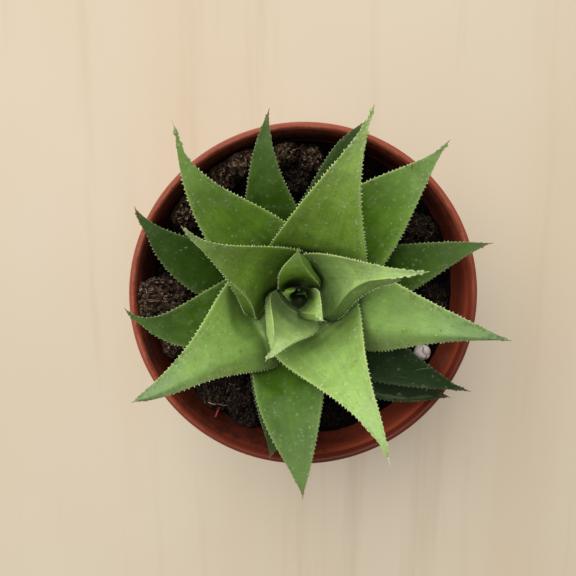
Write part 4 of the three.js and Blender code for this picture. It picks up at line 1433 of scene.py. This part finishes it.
def make_grain():
    points, faces = ball(4)
    radius = GRAIN_RADIUS * (1.1 + 0.06 * waves(points, 1.1, 31, 3))
    x, y, z = points.T
    from_crack = np.abs(0.9 * x + 0.35 * y + 0.12 * np.sin(6 * y) - 0.12)
    groove = smoothstep(-from_crack, -0.1, 0.0) * smoothstep(z, -0.2, 0.4)
    placed = points * (radius - 0.28 * groove)[:, None] * [1.02, 0.95, 0.8] + GRAIN_PLACE
    piece = Skin().add(placed, faces, lit_paint(groove)).build("perlite_puff", perlite_material())
    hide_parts("perlite_grain")
    return piece


def make_stem():
    outline = [
        (0, ROOT_TIP),
        (0.8, ROOT_TIP),
        (STEM_RADIUS, STEM_NECK - 5),
        (STEM_RADIUS + 0.5, STEM_NECK),
        (STEM_RADIUS, STEM_NECK + 3),
        (STEM_RADIUS, STEM_TOP - 6),
        (STEM_RADIUS * 0.55, STEM_TOP - 2),
        (0.5, STEM_TOP),
        (0, STEM_TOP),
    ]
    heights = np.linspace(ROOT_TIP, STEM_TOP, 120)
    radii = np.interp(heights, [h for _, h in outline[1:-1]], [r for r, _ in outline[1:-1]])
    scars = 0.1 * np.maximum(0, np.sin(heights * 2 * math.pi / 1.3)) ** 3
    rows = [(0, ROOT_TIP)] + list(zip(radii - scars, heights)) + [(0, STEM_TOP)]
    points, faces = lathe(rows, STEM_SIDES)
    cork = smoothstep(-points[:, 2], -69, -63)
    skin = Skin().add(points + [*STEM_PLACE, 0], faces, lit_paint(cork))
    piece = skin.build("stem_core", stem_material())
    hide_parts("stem")
    return piece


# Camera, light and floor


DAYLIGHT = (1.0, 0.985, 0.96)
LIT_PLACE = (0, 0, 0.07)
WINDOW_WAY = (-0.4, 0.92, 0)

# The camera that fits the rim's outline in the photograph
CAMERA_TILT = math.radians(10)
CAMERA_AIM = (-3.9, 3.6, POT_HEIGHT)
CAMERA_DISTANCE = 150
FOCAL_PIXELS = 583
PHOTO_PIXELS = 576
SENSOR_WIDTH = 36


def link_object(name, data, place, turn):
    """Puts a camera or a light in the scene."""
    made = bpy.data.objects.new(name, data)
    made.location, made.rotation_euler = place, turn
    bpy.context.collection.objects.link(made)
    return made


def make_camera():
    """Looks down on the pot, a little from the back, as the photograph does."""
    way = np.array([0, math.sin(CAMERA_TILT), math.cos(CAMERA_TILT)])
    data = bpy.data.cameras.new("camera")
    data.sensor_width = SENSOR_WIDTH
    data.lens = SENSOR_WIDTH * FOCAL_PIXELS / PHOTO_PIXELS
    data.clip_start, data.clip_end = 0.01, 10
    place = (CAMERA_AIM + CAMERA_DISTANCE * way) * MM
    bpy.context.scene.camera = link_object("camera", data, place, (-CAMERA_TILT, 0, 0))


def make_light(name, place, size, power, colour):
    """A soft light, placed in metres, that points at the plant."""
    data = bpy.data.lights.new(name, "AREA")
    data.shape = "RECTANGLE"
    data.size, data.size_y = size
    data.energy, data.color = power, colour
    way = Vector(LIT_PLACE) - Vector(place)
    link_object(name, data, place, way.to_track_quat("-Z", "Y").to_euler())


def make_floor():
    """A pale wooden table under the pot."""
    n = Nodes("floor_paint", 214, 200, 176)
    n.lay(n.ramp(n.noise(6), 0.3, 0.7), 218, 205, 184)
    n.lay(n.ramp(n.noise((60, 3.5, 1), 4, 0.6), 0.52, 0.72, 0, 0.3), 190, 170, 142)
    figure = n.noise((16, 2, 1), 3, 0.5, distortion=0.6)
    n.lay(n.ramp(figure, 0.45, 0.7, 0, 0.45), 212, 193, 166)
    material = n.set(Roughness=0.7, Specular_IOR_Level=0.2)
    half = 2000
    corners = [(-half, -half, 0), (half, -half, 0), (half, half, 0), (-half, half, 0)]
    floor = Skin().add(corners, [(0, 1, 2, 3)]).build("floor", material, smooth=False)


def make_world():
    """A white surrounding that is brighter toward the window, and two soft lights."""
    world = bpy.data.worlds.new("studio")
    bpy.context.scene.world = world
    world.use_nodes = True
    graph = Graph(world.node_tree)
    place = graph.node("ShaderNodeTexCoord").outputs["Generated"]
    toward = graph.node("ShaderNodeVectorMath", {0: place, 1: WINDOW_WAY}, operation="DOT_PRODUCT")
    brighter = graph.node("ShaderNodeMapRange", {"Value": toward.outputs["Value"], "From Min": -1,
                                                 "To Min": 0.1, "To Max": 0.42})
    background = world.node_tree.nodes["Background"]
    graph.feed(background.inputs["Color"], (*DAYLIGHT, 1))
    graph.feed(background.inputs["Strength"], brighter.outputs["Result"])
    make_light("window", (-0.53, 1.0, 1.2), (1.9, 1.4), 26, DAYLIGHT)
    make_light("sky", (-0.25, 0.4, 1.4), (1.2, 1.2), 8, (1.0, 0.97, 0.93))


def main():
    make_camera()
    make_floor()
    make_world()
    bpy.context.scene.view_settings.view_transform = "Standard"

    slots = ["young_leaf"] * 5 + ["grown_leaf"] * 6 + ["old_leaf"] * 11
    glosses = {"young_leaf": 0.36, "grown_leaf": 0.36, "old_leaf": 0.14}
    materials = {slot: leaf_material(slot, gloss) for slot, gloss in glosses.items()}
    pieces = [(make_pot(), "pot_plastic")]
    canopy = Canopy()
    for rank, slot in enumerate(slots):
        piece = make_leaf(rank, canopy, materials[slot])
        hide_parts(f"leaf_{rank + 1:02d}")
        pieces.append((piece, slot))
    pieces.append((make_stem(), "stem_skin"))

    ground = Ground(canopy)
    fibres = fibre_material()
    pieces += [(piece, "peat") for piece in (
        make_soil(canopy), make_crumbs(ground, peat_material("peat_crumbs", 0.6)),
        make_fibres(ground, fibres), make_twigs(ground, fibres))]
    pieces.append((make_grain(), "perlite"))
    for piece, slot in pieces:
        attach(piece, "root")


main()
